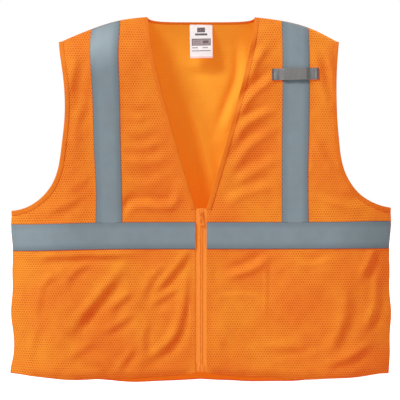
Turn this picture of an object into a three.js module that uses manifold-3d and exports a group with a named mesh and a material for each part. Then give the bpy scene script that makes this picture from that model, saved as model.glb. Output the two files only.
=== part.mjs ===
// High visibility vest with a zip front, reflective tapes, bound edges, inner pockets,
// a microphone tab and a neck label, hanging by its shoulders.
//
// Millimetres, +Z up. The front faces -Y and +X is the wearer's left. The origin is level
// with the middle of the back neckline, halfway between the front and the back.
//
// Each cloth piece is a thin closed sheet. Its outline is drawn in X and Z, and its Y comes
// from one surface, the garment's half depth, so that all the layers follow each other.

import * as THREE from 'three';
import { mergeVertices } from 'three/addons/utils/BufferGeometryUtils.js';
import Module from 'manifold-3d';

// ---------- Garment outline ----------

const CHEST_HALF_WIDTH = 359;
const SHOULDER_TIP_X = 262;
const SHOULDER_TIP_Z = -41;
const SHOULDER_STRAIGHTNESS = 0.31;
const NECK_HALF_WIDTH = 102;
const NECK_POINT_Z = 8.5;
const BACK_NECK_Z = 0;
const BACK_NECK_CORNER = 22;
const UNDERARM_Z = -356;
const ARMHOLE_SCOOP = 18;
const V_BOTTOM_Z = -354;
const V_BOW = 10;
const SIDE_HEM_Z = -668;
const FRONT_HEM_CENTRE_Z = -664;
const FRONT_HEM_BELLY = 12;
const BACK_HEM_CENTRE_Z = -680;

// ---------- Garment depth ----------

const HALF_DEPTH = 32;
const SIDE_ROUNDING = 120;
const SHOULDER_ROUNDING = 90;
const SEAM_HALF_GAP = 1.2;

// ---------- Cloth and trim ----------

const GAP = 0.3;
const PANEL_THICKNESS = 0.8;
const TAPE_THICKNESS = 0.5;
const TAPE_WIDTH = 50.8;
const TAPE_CENTRE_X = 178;
const BELT_TOP_Z = -380;
const BINDING_WIDTH = 9;
const BINDING_THICKNESS = 2;
const HEM_HEIGHT = 20;
const HEM_THICKNESS = 1.6;
const SEAM_ALLOWANCE = 10;
const SEAM_THICKNESS = 1.6;

// ---------- Where each front folds back ----------

const FOLD_START = 0.42;
const FOLD_HEM_X = 126;
const FOLD_TIP_WIDTH = 2;

// ---------- Inner pockets ----------

const POCKET_INNER_X = 133;
const POCKET_WIDTH = 173;
const POCKET_TOP_Z = -463;
const POCKET_HEIGHT = 180;
const POCKET_THICKNESS = 0.7;
const POCKET_EDGE_GAP = 0.5;
const POCKET_GAPE = 9;
const POCKET_GAPE_SHARE = 0.4;

// ---------- Microphone tab ----------

const MIC_TAB_LENGTH = 88;
const MIC_TAB_HEIGHT = 25;
const MIC_TAB_THICKNESS = 1.2;
const MIC_TAB_Z = -99;
const MIC_TAB_END = 16;
const MIC_TAB_RAMP = 6;
const MIC_TAB_STAND_OFF = 5;
const BARTACK_WIDTH = 1.6;
const BARTACK_HEIGHT = 20;
const BARTACK_THICKNESS = 0.8;
const BARTACK_INSET = 10;

// ---------- Neck label ----------

const LABEL_WIDTH = 43;
const LABEL_HEIGHT = 64;
const LABEL_THICKNESS = 0.5;
const LABEL_TOP_Z = -4;

// ---------- Zip ----------

const ZIP_BAND_HALF_WIDTH = 12;
const ZIP_TAPE_LAP = 10;
const ZIP_TAPE_THICKNESS = 0.6;
const COIL_HALF_SPACE = 0.8;
const COIL_WIDTH = 4.3;
const COIL_THICKNESS = 2.6;
const STOP_HEIGHT = 3;
const SLIDER_HALF_WIDTH = 4.8;
const SLIDER_LENGTH = 12;
const SLIDER_PLATE = 1;
const SLIDER_BRIDGE_WIDTH = 1;
const SLIDER_BRIDGE_LENGTH = 3;
const BAIL_WIDTH = 1.8;
const BAIL_LENGTH = 8;
const BAIL_POST = 1;
const BAIL_HEIGHT = 3.2;
const PULL_WIDTH = 8;
const PULL_LENGTH = 23;
const PULL_THICKNESS = 1.2;
const PULL_ARM_SPACE = 0.8;
const PULL_ARM_LENGTH = 5.4;
const PIN_WIDTH = 2;
const BOX_WALL = 1;
const BOX_HEIGHT = 12;

// ---------- Finishes ----------

const ORANGE_CLOTH = { color: 0xe87c2c, roughness: 0.85, metalness: 0 };
const ORANGE_TRIM = { color: 0xdc6e22, roughness: 0.8, metalness: 0 };
const ORANGE_PLASTIC = { color: 0xe5702a, roughness: 0.45, metalness: 0 };
const REFLECTIVE = { color: 0x8292a0, roughness: 0.45, metalness: 0.1 };
const GREY_WEBBING = { color: 0x7c7b7a, roughness: 0.9, metalness: 0 };
const LABEL_CLOTH = { color: 0xf8f4f2, roughness: 0.7, metalness: 0 };

// ---------- Solids ----------

const wasm = await Module();
wasm.setup();

function weld(geometry) {
  const bare = geometry.clone();
  bare.deleteAttribute('normal');
  bare.deleteAttribute('uv');
  return mergeVertices(bare, 1e-4);
}

function signedVolume(geometry) {
  const corner = [new THREE.Vector3(), new THREE.Vector3(), new THREE.Vector3()];
  const { position } = geometry.attributes;
  const index = geometry.index.array;
  let volume = 0;
  for (let i = 0; i < index.length; i += 3) {
    corner.forEach((point, k) => point.fromBufferAttribute(position, index[i + k]));
    volume += corner[0].dot(corner[1].cross(corner[2])) / 6;
  }
  return volume;
}

// One closed body with its faces pointing out, whichever side of the vest it is on.
function finishSolid(geometry) {
  const welded = weld(geometry);
  if (signedVolume(welded) < 0) {
    const index = welded.index.array;
    for (let i = 0; i < index.length; i += 3) {
      [index[i], index[i + 1]] = [index[i + 1], index[i]];
    }
  }
  welded.computeVertexNormals();
  return welded;
}

function toManifold(geometry) {
  const welded = finishSolid(geometry);
  return new wasm.Manifold(new wasm.Mesh({
    numProp: 3,
    vertProperties: new Float32Array(welded.attributes.position.array),
    triVerts: new Uint32Array(welded.index.array),
  }));
}

function fromManifold(solid) {
  const mesh = solid.getMesh();
  const geometry = new THREE.BufferGeometry();
  geometry.setAttribute('position', new THREE.BufferAttribute(mesh.vertProperties, 3));
  geometry.setIndex(new THREE.BufferAttribute(mesh.triVerts, 1));
  return finishSolid(geometry);
}

// A box from its lowest and highest corners.
function block(low, high) {
  const size = high.map((value, axis) => value - low[axis]);
  const centre = high.map((value, axis) => (value + low[axis]) / 2);
  return new THREE.BoxGeometry(...size).translate(...centre);
}

function joined(...geometries) {
  const solids = geometries.map(toManifold);
  return fromManifold(solids.reduce((sum, solid) => sum.add(solid)));
}

function cut(geometry, tool) {
  return fromManifold(toManifold(geometry).subtract(toManifold(tool)));
}

const vest = new THREE.Group();

function addPiece(name, geometry, finish) {
  const piece = new THREE.Mesh(geometry, new THREE.MeshStandardMaterial(finish));
  piece.name = name;
  vest.add(piece);
}

// ---------- The garment's surface ----------

const { lerp } = THREE.MathUtils;

function easeOut(share) {
  const held = Math.min(Math.max(share, 0), 1);
  return 1 - (1 - held) ** 2;
}

function shoulderHeight(x) {
  const share = Math.max(Math.abs(x) - NECK_HALF_WIDTH, 0) / (SHOULDER_TIP_X - NECK_HALF_WIDTH);
  const drop = NECK_POINT_Z - SHOULDER_TIP_Z;
  const bend = SHOULDER_STRAIGHTNESS * share + (1 - SHOULDER_STRAIGHTNESS) * share ** 2;
  return NECK_POINT_Z - drop * bend;
}

// How far the cloth's inner face stands from the middle plane, rising from the seams.
function halfDepthAt(x, z) {
  const fromSide = (CHEST_HALF_WIDTH - Math.abs(x)) / SIDE_ROUNDING;
  const fromShoulder = (shoulderHeight(x) - z) / SHOULDER_ROUNDING;
  return SEAM_HALF_GAP + HALF_DEPTH * easeOut(fromSide) * easeOut(fromShoulder);
}

function hemHeight(x, centreZ, belly) {
  const share = Math.abs(x) / CHEST_HALF_WIDTH;
  return lerp(centreZ, SIDE_HEM_Z, share) - belly * 4 * share * (1 - share);
}

const frontHem = (x) => hemHeight(x, FRONT_HEM_CENTRE_Z, FRONT_HEM_BELLY);
const backHem = (x) => hemHeight(x, BACK_HEM_CENTRE_Z, 0);
const FLAT_Y = -(SEAM_HALF_GAP + HALF_DEPTH);

// ---------- Edge curves on the wearer's left, in X and Z ----------

const at = (x, z) => new THREE.Vector2(x, z);
const armholeHeight = SHOULDER_TIP_Z - UNDERARM_Z;

const ARMHOLE_UPPER_PULL = 0.44;
const ARMHOLE_LOWER_PULL = 0.02;
const V_PULL = 0.27;
const BACK_NECK_LEAN = 2;

const armholeEdge = new THREE.CubicBezierCurve(
  at(SHOULDER_TIP_X, SHOULDER_TIP_Z),
  at(SHOULDER_TIP_X - ARMHOLE_SCOOP, SHOULDER_TIP_Z - ARMHOLE_UPPER_PULL * armholeHeight),
  at(SHOULDER_TIP_X, UNDERARM_Z + ARMHOLE_LOWER_PULL * armholeHeight),
  at(CHEST_HALF_WIDTH, UNDERARM_Z),
);

const vEdge = new THREE.QuadraticBezierCurve(
  at(NECK_HALF_WIDTH, NECK_POINT_Z),
  at(NECK_HALF_WIDTH - V_BOW, lerp(NECK_POINT_Z, V_BOTTOM_Z, V_PULL)),
  at(ZIP_BAND_HALF_WIDTH, V_BOTTOM_Z),
);

const backNeckEdge = new THREE.CubicBezierCurve(
  at(NECK_HALF_WIDTH, NECK_POINT_Z),
  at(NECK_HALF_WIDTH - BACK_NECK_LEAN, BACK_NECK_Z),
  at(NECK_HALF_WIDTH - BACK_NECK_CORNER, BACK_NECK_Z),
  at(0, BACK_NECK_Z),
);

// A point beside a curve: a positive distance is to the left of its direction.
function beside(curve, share, distance) {
  const point = curve.getPoint(share);
  const tangent = curve.getTangent(share);
  return [point.x - distance * tangent.y, point.y + distance * tangent.x];
}

const PANEL_INSET = BINDING_WIDTH + GAP;
const armholeInset = (share, inset) => beside(armholeEdge, share, -inset);
const neckInset = (curve, share, inset) => beside(curve, share, inset);

// ---------- The fold line of the left front ----------

const foldTop = vEdge.getPoint(FOLD_START);
const foldHem = at(FOLD_HEM_X, frontHem(FOLD_HEM_X));

function foldX(z, shift) {
  const share = (z - foldHem.y) / (foldTop.y - foldHem.y);
  return lerp(foldHem.x, foldTop.x, share) + shift;
}

// The share of the V edge, moved into the cloth by an inset, where it meets the fold.
function foldCrossing(inset, shift) {
  let low = 0;
  let high = 1;
  for (let step = 0; step < 40; step += 1) {
    const middle = (low + high) / 2;
    const [x, z] = neckInset(vEdge, middle, inset);
    if (x > foldX(z, shift)) {
      low = middle;
    } else {
      high = middle;
    }
  }
  return low;
}

// ---------- Sheets ----------

// A list of points along a path, with both of its ends.
function along(steps, path) {
  return Array.from({ length: steps + 1 }, (_, i) => path(i / steps));
}

const straight = (start, end) => (share) => [lerp(start[0], end[0], share), lerp(start[1], end[1], share)];

// A grid of points between four edges. The edges run left to right and bottom to top.
function gridBetween(bottom, top, left, right) {
  const columns = bottom.length - 1;
  const rows = left.length - 1;
  return left.map((leftPoint, row) => bottom.map((bottomPoint, column) => {
    const u = column / columns;
    const v = row / rows;
    return [0, 1].map((axis) => {
      const acrossRow = lerp(leftPoint[axis], right[row][axis], u);
      const upColumn = lerp(bottomPoint[axis], top[column][axis], v);
      const lowCorners = lerp(bottom[0][axis], bottom[columns][axis], u);
      const highCorners = lerp(top[0][axis], top[columns][axis], u);
      return acrossRow + upColumn - lerp(lowCorners, highCorners, v);
    });
  }));
}

function rectangleGrid(columns, rows, lowX, highX, lowZ, highZ) {
  return along(rows, (v) => v).map((v) => along(columns, (u) => {
    const x = lerp(lowX(v), highX(v), u);
    return [x, lerp(lowZ(x), highZ(x), v)];
  }));
}

const onSide = (grid, side) => grid.map((row) => row.map(([x, z]) => [side * x, z]));
const noLift = () => 0;

// A closed sheet over a grid. face is -1 on the front and 1 on the back, and inner and
// outer are its two faces' distances from the garment's surface.
function sheet(grid, face, inner, outer, lift = noLift) {
  const rows = grid.length - 1;
  const columns = grid[0].length - 1;
  const geometry = new THREE.BoxGeometry(1, 1, 1, columns, rows, 1);
  const { position } = geometry.attributes;
  for (let i = 0; i < position.count; i += 1) {
    const u = position.getX(i) + 0.5;
    const v = position.getY(i) + 0.5;
    const [x, z] = grid[Math.round(v * rows)][Math.round(u * columns)];
    const layer = lerp(inner, outer, position.getZ(i) + 0.5) + lift(u, v);
    position.setXYZ(i, x, face * (halfDepthAt(x, z) + layer), z);
  }
  return finishSolid(geometry);
}

const SIDES = [
  { name: 'right', sign: -1 },
  { name: 'left', sign: 1 },
];

// ---------- Back panel and the side parts of the fronts ----------

const SIDE_ROWS = 4;
const ARMHOLE_ROWS = 12;
const SHOULDER_COLUMNS = 6;

// Up the side seam from the hem, then up the armhole to the shoulder tip.
function outerEdge(hem) {
  const underarm = armholeInset(1, PANEL_INSET);
  const lowest = [CHEST_HALF_WIDTH, hem(CHEST_HALF_WIDTH) + HEM_HEIGHT + GAP];
  const seam = along(SIDE_ROWS, straight(lowest, [CHEST_HALF_WIDTH, underarm[1]]));
  const armhole = along(ARMHOLE_ROWS, (share) => armholeInset(1 - share, PANEL_INSET));
  return [...seam, ...armhole.slice(1)];
}

function shoulderEdge(neckPoint, tipPoint) {
  const aboveLine = ([x, z]) => z - shoulderHeight(x);
  const bend = (share) => {
    const x = lerp(neckPoint[0], tipPoint[0], share);
    const above = lerp(aboveLine(neckPoint), aboveLine(tipPoint), share);
    return [x, shoulderHeight(x) + above];
  };
  return along(SHOULDER_COLUMNS, bend);
}

const tipPoint = armholeInset(0, PANEL_INSET);

function makeBackPanel() {
  const right = outerEdge(backHem);
  const left = onSide([right], -1)[0];
  const shoulder = shoulderEdge(neckInset(backNeckEdge, 0, PANEL_INSET), tipPoint);
  const halfNeck = along(SHOULDER_COLUMNS, (share) => neckInset(backNeckEdge, 1 - share, PANEL_INSET));
  const rightTop = [...halfNeck, ...shoulder.slice(1)];
  const leftTop = onSide([rightTop], -1)[0].reverse();
  const top = [...leftTop, ...rightTop.slice(1)];
  const low = (x) => backHem(x) + HEM_HEIGHT + GAP;
  const bottom = along(top.length - 1, (share) => {
    const x = lerp(-CHEST_HALF_WIDTH, CHEST_HALF_WIDTH, share);
    return [x, low(x)];
  });
  return sheet(gridBetween(bottom, top, left, right), 1, 0, PANEL_THICKNESS);
}

// From the hem up the fold line, then up the inner side of the neck binding.
function frontInnerEdge() {
  const crossing = foldCrossing(PANEL_INSET, GAP / 2);
  const meeting = neckInset(vEdge, crossing, PANEL_INSET);
  const hemZ = frontHem(FOLD_HEM_X) + HEM_HEIGHT + GAP;
  const neckRows = 4;
  const foldRows = SIDE_ROWS + ARMHOLE_ROWS - neckRows;
  const fold = along(foldRows, straight([foldX(hemZ, GAP / 2), hemZ], meeting));
  const neck = along(neckRows, (share) => neckInset(vEdge, crossing * (1 - share), PANEL_INSET));
  return [...fold, ...neck.slice(1)];
}

function makeFrontPanel(side) {
  const left = frontInnerEdge();
  const right = outerEdge(frontHem);
  const columns = 2 * SHOULDER_COLUMNS;
  const shoulder = shoulderEdge(left[left.length - 1], tipPoint);
  const top = shoulder.flatMap((point, i) => {
    const next = shoulder[i + 1];
    return next ? [point, straight(point, next)(0.5)] : [point];
  });
  const bottom = along(columns, (share) => {
    const x = lerp(left[0][0], CHEST_HALF_WIDTH, share);
    return [x, frontHem(x) + HEM_HEIGHT + GAP];
  });
  return sheet(onSide(gridBetween(bottom, top, left, right), side), -1, 0, PANEL_THICKNESS);
}

// ---------- The part of each front that turns back ----------

function makeFlapPanel(side) {
  const zipRows = 3;
  const neckRows = 9;
  const tip = foldCrossing(PANEL_INSET, -GAP / 2 - FOLD_TIP_WIDTH);
  const bindingEnd = neckInset(vEdge, 1, PANEL_INSET);
  const hemZ = (x) => frontHem(x) + HEM_HEIGHT + GAP;
  const zipX = ZIP_BAND_HALF_WIDTH;
  const zipTop = bindingEnd[1] - GAP;
  const zip = along(zipRows, straight([zipX, hemZ(zipX)], [zipX, zipTop]));
  const neck = along(neckRows, (share) => neckInset(vEdge, lerp(1, tip, share), PANEL_INSET));
  const right = [...zip, ...neck];
  const tipZ = neck[neckRows][1];
  const left = along(right.length - 1, (share) => {
    const z = lerp(hemZ(FOLD_HEM_X), tipZ, share);
    return [foldX(z, -GAP / 2), z];
  });
  const columns = 3;
  const bottom = along(columns, (share) => {
    const x = lerp(left[0][0], zipX, share);
    return [x, hemZ(x)];
  });
  const top = along(columns, straight(left[left.length - 1], right[right.length - 1]));
  return sheet(onSide(gridBetween(bottom, top, left, right), side), -1, 0, PANEL_THICKNESS);
}

// ---------- Bindings ----------

const BINDING_INNER = 0;
const BINDING_OUTER = BINDING_INNER + BINDING_THICKNESS;

// A strip along a neck edge, from one share of it to another on each of its long sides.
function neckStrip(curve, rows, free, sewn) {
  const left = along(rows, (share) => neckInset(curve, lerp(free[0], free[1], share), 0));
  const right = along(rows, (share) => neckInset(curve, lerp(sewn[0], sewn[1], share), BINDING_WIDTH));
  const bottom = [left[0], right[0]];
  const top = [left[rows], right[rows]];
  return gridBetween(bottom, top, left, right);
}

function makeNeckBinding(side) {
  const free = [foldCrossing(0, GAP / 2), 0];
  const sewn = [foldCrossing(BINDING_WIDTH, GAP / 2), 0];
  return sheet(onSide(neckStrip(vEdge, 6, free, sewn), side), -1, BINDING_INNER, BINDING_OUTER);
}

function makeFlapNeckBinding(side) {
  const free = [1, foldCrossing(0, -GAP / 2)];
  const sewn = [1, foldCrossing(BINDING_WIDTH, -GAP / 2)];
  return sheet(onSide(neckStrip(vEdge, 9, free, sewn), side), -1, BINDING_INNER, BINDING_OUTER);
}

function makeBackNeckBinding() {
  const rows = SHOULDER_COLUMNS;
  const half = neckStrip(backNeckEdge, rows, [0, 1], [0, 1]);
  const mirrored = onSide(half, -1).reverse();
  return sheet([...half, ...mirrored.slice(1)], 1, BINDING_INNER, BINDING_OUTER);
}

// The corners of the binding's section where it rounds a seam, from the front to the back.
function bindingTurn(share, direction, edge, radius) {
  const [x, z] = armholeInset(share, edge);
  const tangent = armholeEdge.getTangent(share);
  const reach = direction * (SEAM_HALF_GAP + radius);
  return [x + tangent.x * reach, 0, z + tangent.y * reach];
}

// One closed loop: up the front of the armhole, over the tip and down the back.
function makeArmholeBinding(side) {
  const steps = ARMHOLE_ROWS;
  const stations = 2 * (steps + 2);
  const geometry = new THREE.TorusGeometry(2, 1, 4, stations);
  const { position } = geometry.attributes;
  const freeCorners = [[0, BINDING_INNER], [0, BINDING_OUTER]];
  const sewnCorners = [[BINDING_WIDTH, BINDING_OUTER], [BINDING_WIDTH, BINDING_INNER]];
  const corners = [...freeCorners, ...sewnCorners];
  const corner = (station, [edge, layer]) => {
    if (station === steps + 1) {
      return bindingTurn(0, -1, edge, layer);
    }
    if (station === stations - 1) {
      return bindingTurn(1, 1, edge, layer);
    }
    const onFront = station <= steps;
    const share = onFront ? 1 - station / steps : (station - steps - 2) / steps;
    const [x, z] = armholeInset(share, edge);
    return [x, (onFront ? -1 : 1) * (halfDepthAt(x, z) + layer), z];
  };
  for (let ring = 0; ring <= 4; ring += 1) {
    for (let station = 0; station <= stations; station += 1) {
      const [x, y, z] = corner(station % stations, corners[ring % 4]);
      position.setXYZ(ring * (stations + 1) + station, side * x, y, z);
    }
  }
  return finishSolid(geometry);
}

// ---------- Hems and seams ----------

function hemGrid(columns, lowX, highX, hem) {
  return rectangleGrid(columns, 1, lowX, highX, hem, (x) => hem(x) + HEM_HEIGHT);
}

const sideAt = () => CHEST_HALF_WIDTH;
const zipAt = () => ZIP_BAND_HALF_WIDTH;
const hemFoldX = (shift) => (v) => foldX(frontHem(FOLD_HEM_X) + v * HEM_HEIGHT, shift);

function makeFrontHem(side) {
  return sheet(onSide(hemGrid(12, hemFoldX(GAP / 2), sideAt, frontHem), side), -1, 0, HEM_THICKNESS);
}

function makeFlapHem(side) {
  return sheet(onSide(hemGrid(4, zipAt, hemFoldX(-GAP / 2), frontHem), side), -1, 0, HEM_THICKNESS);
}

function makeBackHem() {
  return sheet(hemGrid(28, () => -CHEST_HALF_WIDTH, sideAt, backHem), 1, 0, HEM_THICKNESS);
}

// The seam allowance that hangs inside a seam, as a strip on the middle plane.
function seamStrip(grid, side) {
  const rows = grid.length - 1;
  const columns = grid[0].length - 1;
  const geometry = new THREE.BoxGeometry(1, 1, SEAM_THICKNESS, columns, rows, 1);
  const { position } = geometry.attributes;
  for (let i = 0; i < position.count; i += 1) {
    const column = Math.round((position.getX(i) + 0.5) * columns);
    const row = Math.round((position.getY(i) + 0.5) * rows);
    const [x, z] = grid[row][column];
    position.setXYZ(i, side * x, position.getZ(i), z);
  }
  return finishSolid(geometry);
}

function makeShoulderSeam(side) {
  const lowX = NECK_HALF_WIDTH + BINDING_WIDTH + SEAM_ALLOWANCE;
  const highX = SHOULDER_TIP_X - BINDING_WIDTH - SEAM_ALLOWANCE;
  const low = (x) => shoulderHeight(x) - SEAM_ALLOWANCE;
  const high = (x) => shoulderHeight(x) - 2 * GAP;
  return seamStrip(rectangleGrid(8, 1, () => lowX, () => highX, low, high), side);
}

function makeSideSeam(side) {
  const highX = CHEST_HALF_WIDTH - 2 * GAP;
  const lowZ = SIDE_HEM_Z + HEM_HEIGHT;
  const highZ = UNDERARM_Z - BINDING_WIDTH - SEAM_ALLOWANCE;
  const grid = rectangleGrid(1, 6, () => highX - SEAM_ALLOWANCE, () => highX, () => lowZ, () => highZ);
  return seamStrip(grid, side);
}

// ---------- Reflective tapes ----------

const TAPE_INNER = PANEL_THICKNESS + GAP;
const TAPE_OUTER = TAPE_INNER + TAPE_THICKNESS;
const BELT_BOTTOM_Z = BELT_TOP_Z - TAPE_WIDTH;

function makeVerticalTape(side, face) {
  const lowX = TAPE_CENTRE_X - TAPE_WIDTH / 2;
  const highX = TAPE_CENTRE_X + TAPE_WIDTH / 2;
  const low = BELT_TOP_Z + GAP;
  const top = (x) => shoulderHeight(x) - GAP;
  const bend = (x) => top(x) - SHOULDER_ROUNDING;
  const flat = rectangleGrid(3, 2, () => lowX, () => highX, () => low, bend);
  const rounded = rectangleGrid(3, 12, () => lowX, () => highX, bend, top);
  return sheet(onSide([...flat, ...rounded.slice(1)], side), face, TAPE_INNER, TAPE_OUTER);
}

function beltGrid(columns, lowX, highX) {
  return rectangleGrid(columns, 1, lowX, highX, () => BELT_BOTTOM_Z, () => BELT_TOP_Z);
}

function makeBeltTape(side) {
  const foldSide = (v) => foldX(lerp(BELT_BOTTOM_Z, BELT_TOP_Z, v), GAP / 2);
  const seamSide = () => CHEST_HALF_WIDTH - GAP;
  return sheet(onSide(beltGrid(16, foldSide, seamSide), side), -1, TAPE_INNER, TAPE_OUTER);
}

function makeFlapBeltTape(side) {
  const foldSide = (v) => foldX(lerp(BELT_BOTTOM_Z, BELT_TOP_Z, v), -GAP / 2);
  const zipSide = () => ZIP_BAND_HALF_WIDTH + GAP;
  return sheet(onSide(beltGrid(2, zipSide, foldSide), side), -1, TAPE_INNER, TAPE_OUTER);
}

function makeBackBeltTape() {
  const reach = CHEST_HALF_WIDTH - GAP;
  return sheet(beltGrid(48, () => -reach, () => reach), 1, TAPE_INNER, TAPE_OUTER);
}

// ---------- Inner pockets, microphone tab and label ----------

const POCKET_GAPE_FLATNESS = 0.6;

// A pocket bag sewn down on three edges. Its mouth, at the top, stands a little open.
function makePocket(side) {
  const highX = POCKET_INNER_X + POCKET_WIDTH;
  const lowZ = POCKET_TOP_Z - POCKET_HEIGHT;
  const grid = rectangleGrid(12, 6, () => POCKET_INNER_X, () => highX, () => lowZ, () => POCKET_TOP_Z);
  const outer = -POCKET_EDGE_GAP;
  const acrossMouth = (u) => Math.sin(Math.PI * u) ** POCKET_GAPE_FLATNESS;
  const gape = (u, v) => -POCKET_GAPE * acrossMouth(u) * easeOut(v / POCKET_GAPE_SHARE);
  return sheet(onSide(grid, side), -1, outer - POCKET_THICKNESS, outer, gape);
}

const MIC_TAB_SEAT = TAPE_OUTER + GAP;

// The tab lies on the cloth at its two sewn ends. Between them it is flat and stands off.
function makeMicTab() {
  const half = MIC_TAB_LENGTH / 2;
  const rampStart = half - MIC_TAB_END;
  const flatEnd = rampStart - MIC_TAB_RAMP;
  const stops = [-half, -rampStart, -flatEnd, flatEnd, rampStart, half];
  const geometry = new THREE.BoxGeometry(1, MIC_TAB_HEIGHT, 1, stops.length - 1, 1, 1);
  const { position } = geometry.attributes;
  for (let i = 0; i < position.count; i += 1) {
    const stop = stops[Math.round((position.getX(i) + 0.5) * (stops.length - 1))];
    const x = TAPE_CENTRE_X + stop;
    const z = MIC_TAB_Z + position.getY(i);
    const standsOff = Math.abs(stop) <= flatEnd;
    const seatY = standsOff ? FLAT_Y - MIC_TAB_STAND_OFF : -halfDepthAt(x, z);
    const layer = MIC_TAB_SEAT + (position.getZ(i) + 0.5) * MIC_TAB_THICKNESS;
    position.setXYZ(i, x, seatY - layer, z);
  }
  return finishSolid(geometry);
}

function makeBartack(direction) {
  const centreX = TAPE_CENTRE_X + direction * (MIC_TAB_LENGTH / 2 - BARTACK_INSET);
  const inner = MIC_TAB_SEAT + MIC_TAB_THICKNESS + GAP;
  const half = BARTACK_WIDTH / 2;
  const low = () => MIC_TAB_Z - BARTACK_HEIGHT / 2;
  const high = () => MIC_TAB_Z + BARTACK_HEIGHT / 2;
  const grid = rectangleGrid(1, 4, () => centreX - half, () => centreX + half, low, high);
  return sheet(grid, -1, inner, inner + BARTACK_THICKNESS);
}

// The label is sewn in at its top edge and hangs straight down.
function makeLabel() {
  const backY = halfDepthAt(0, LABEL_TOP_Z) + BINDING_INNER - GAP;
  const low = [-LABEL_WIDTH / 2, backY - LABEL_THICKNESS, LABEL_TOP_Z - LABEL_HEIGHT];
  return finishSolid(block(low, [LABEL_WIDTH / 2, backY, LABEL_TOP_Z]));
}

// ---------- Zip ----------

const ZIP_BOTTOM_Z = FRONT_HEM_CENTRE_Z + 2;
const ZIP_TAPE_X = COIL_HALF_SPACE + COIL_WIDTH + GAP;
const ZIP_TAPE_FRONT_Y = FLAT_Y + GAP;
const COIL_FRONT_Y = FLAT_Y - PANEL_THICKNESS;
const COIL_BACK_Y = COIL_FRONT_Y + COIL_THICKNESS;
const COIL_BOTTOM_Z = ZIP_BOTTOM_Z + BOX_HEIGHT + GAP;
const SLIDER_TOP_Z = V_BOTTOM_Z - GAP - STOP_HEIGHT - GAP;
const SLIDER_BOTTOM_Z = SLIDER_TOP_Z - SLIDER_LENGTH;

// A block on one side of the zip, from its inner and outer distances from the centre.
function zipBlock(side, innerX, outerX, frontY, backY, lowZ, highZ) {
  const edges = [side * innerX, side * outerX].sort((a, b) => a - b);
  return finishSolid(block([edges[0], frontY, lowZ], [edges[1], backY, highZ]));
}

function makeZipTape(side) {
  const outerX = ZIP_BAND_HALF_WIDTH + ZIP_TAPE_LAP;
  const backY = ZIP_TAPE_FRONT_Y + ZIP_TAPE_THICKNESS;
  return zipBlock(side, ZIP_TAPE_X, outerX, ZIP_TAPE_FRONT_Y, backY, ZIP_BOTTOM_Z, V_BOTTOM_Z - GAP);
}

// The slider rides on the right coil, so only that one runs up through it.
function makeZipCoil(side, topZ) {
  const outerX = COIL_HALF_SPACE + COIL_WIDTH;
  return zipBlock(side, COIL_HALF_SPACE, outerX, COIL_FRONT_Y, COIL_BACK_Y, COIL_BOTTOM_Z, topZ);
}

function makeTopStop(side) {
  const outerX = COIL_HALF_SPACE + COIL_WIDTH;
  const topZ = V_BOTTOM_Z - GAP;
  return zipBlock(side, COIL_HALF_SPACE, outerX, COIL_FRONT_Y, COIL_BACK_Y, topZ - STOP_HEIGHT + GAP, topZ);
}

// The fixed pin is on the right and the pin that lifts out is on the left.
function makeZipPin(side) {
  const outerX = COIL_HALF_SPACE + PIN_WIDTH;
  const lowZ = ZIP_BOTTOM_Z + BOX_WALL + GAP;
  const backY = COIL_FRONT_Y + PIN_WIDTH;
  return zipBlock(side, COIL_HALF_SPACE, outerX, COIL_FRONT_Y, backY, lowZ, COIL_BOTTOM_Z - GAP);
}

// A tray for both pins, open at its top and its front, so that the left pin can come out.
function makeRetainerBox() {
  const halfWidth = COIL_HALF_SPACE + COIL_WIDTH;
  const frontY = COIL_FRONT_Y - BOX_WALL;
  const floorY = COIL_FRONT_Y + PIN_WIDTH + GAP;
  const highZ = ZIP_BOTTOM_Z + BOX_HEIGHT - GAP;
  const body = block([-halfWidth, frontY, ZIP_BOTTOM_Z], [halfWidth, floorY + BOX_WALL, highZ]);
  const inside = halfWidth - BOX_WALL;
  const hollow = block([-inside, frontY - 1, ZIP_BOTTOM_Z + BOX_WALL], [inside, floorY, highZ + 1]);
  return cut(body, hollow);
}

const PLATE_FRONT_Y = COIL_FRONT_Y - GAP - SLIDER_PLATE;
const PLATE_BACK_Y = COIL_BACK_Y + GAP + SLIDER_PLATE;
const BAIL_DROP = 1.5;
const BAIL_TOP_Z = SLIDER_TOP_Z - BAIL_DROP;
const PIVOT_Y = PLATE_FRONT_Y - BAIL_HEIGHT / 2;
const PIVOT_Z = BAIL_TOP_Z - BAIL_LENGTH / 2;

// Two plates with a bridge between the coils, and a bail on the front for the pull.
function makeSlider() {
  const half = SLIDER_HALF_WIDTH;
  const plate = (lowY) => block([-half, lowY, SLIDER_BOTTOM_Z], [half, lowY + SLIDER_PLATE, SLIDER_TOP_Z]);
  const front = plate(PLATE_FRONT_Y);
  const back = plate(PLATE_BACK_Y - SLIDER_PLATE);
  const bridgeHalf = SLIDER_BRIDGE_WIDTH / 2;
  const bridgeLow = [-bridgeHalf, PLATE_FRONT_Y, SLIDER_TOP_Z - SLIDER_BRIDGE_LENGTH];
  const bridge = block(bridgeLow, [bridgeHalf, PLATE_BACK_Y, SLIDER_TOP_Z]);
  const bailHalf = BAIL_WIDTH / 2;
  const bailFrontY = PLATE_FRONT_Y - BAIL_HEIGHT - BAIL_POST;
  const bailLow = [-bailHalf, bailFrontY, BAIL_TOP_Z - BAIL_LENGTH];
  const bail = block(bailLow, [bailHalf, PLATE_FRONT_Y + GAP, BAIL_TOP_Z]);
  const eyeLow = [-half, bailFrontY + BAIL_POST, BAIL_TOP_Z - BAIL_LENGTH + BAIL_POST];
  const eye = block(eyeLow, [half, PLATE_FRONT_Y, BAIL_TOP_Z - BAIL_POST]);
  return joined(front, back, bridge, cut(bail, eye));
}

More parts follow.
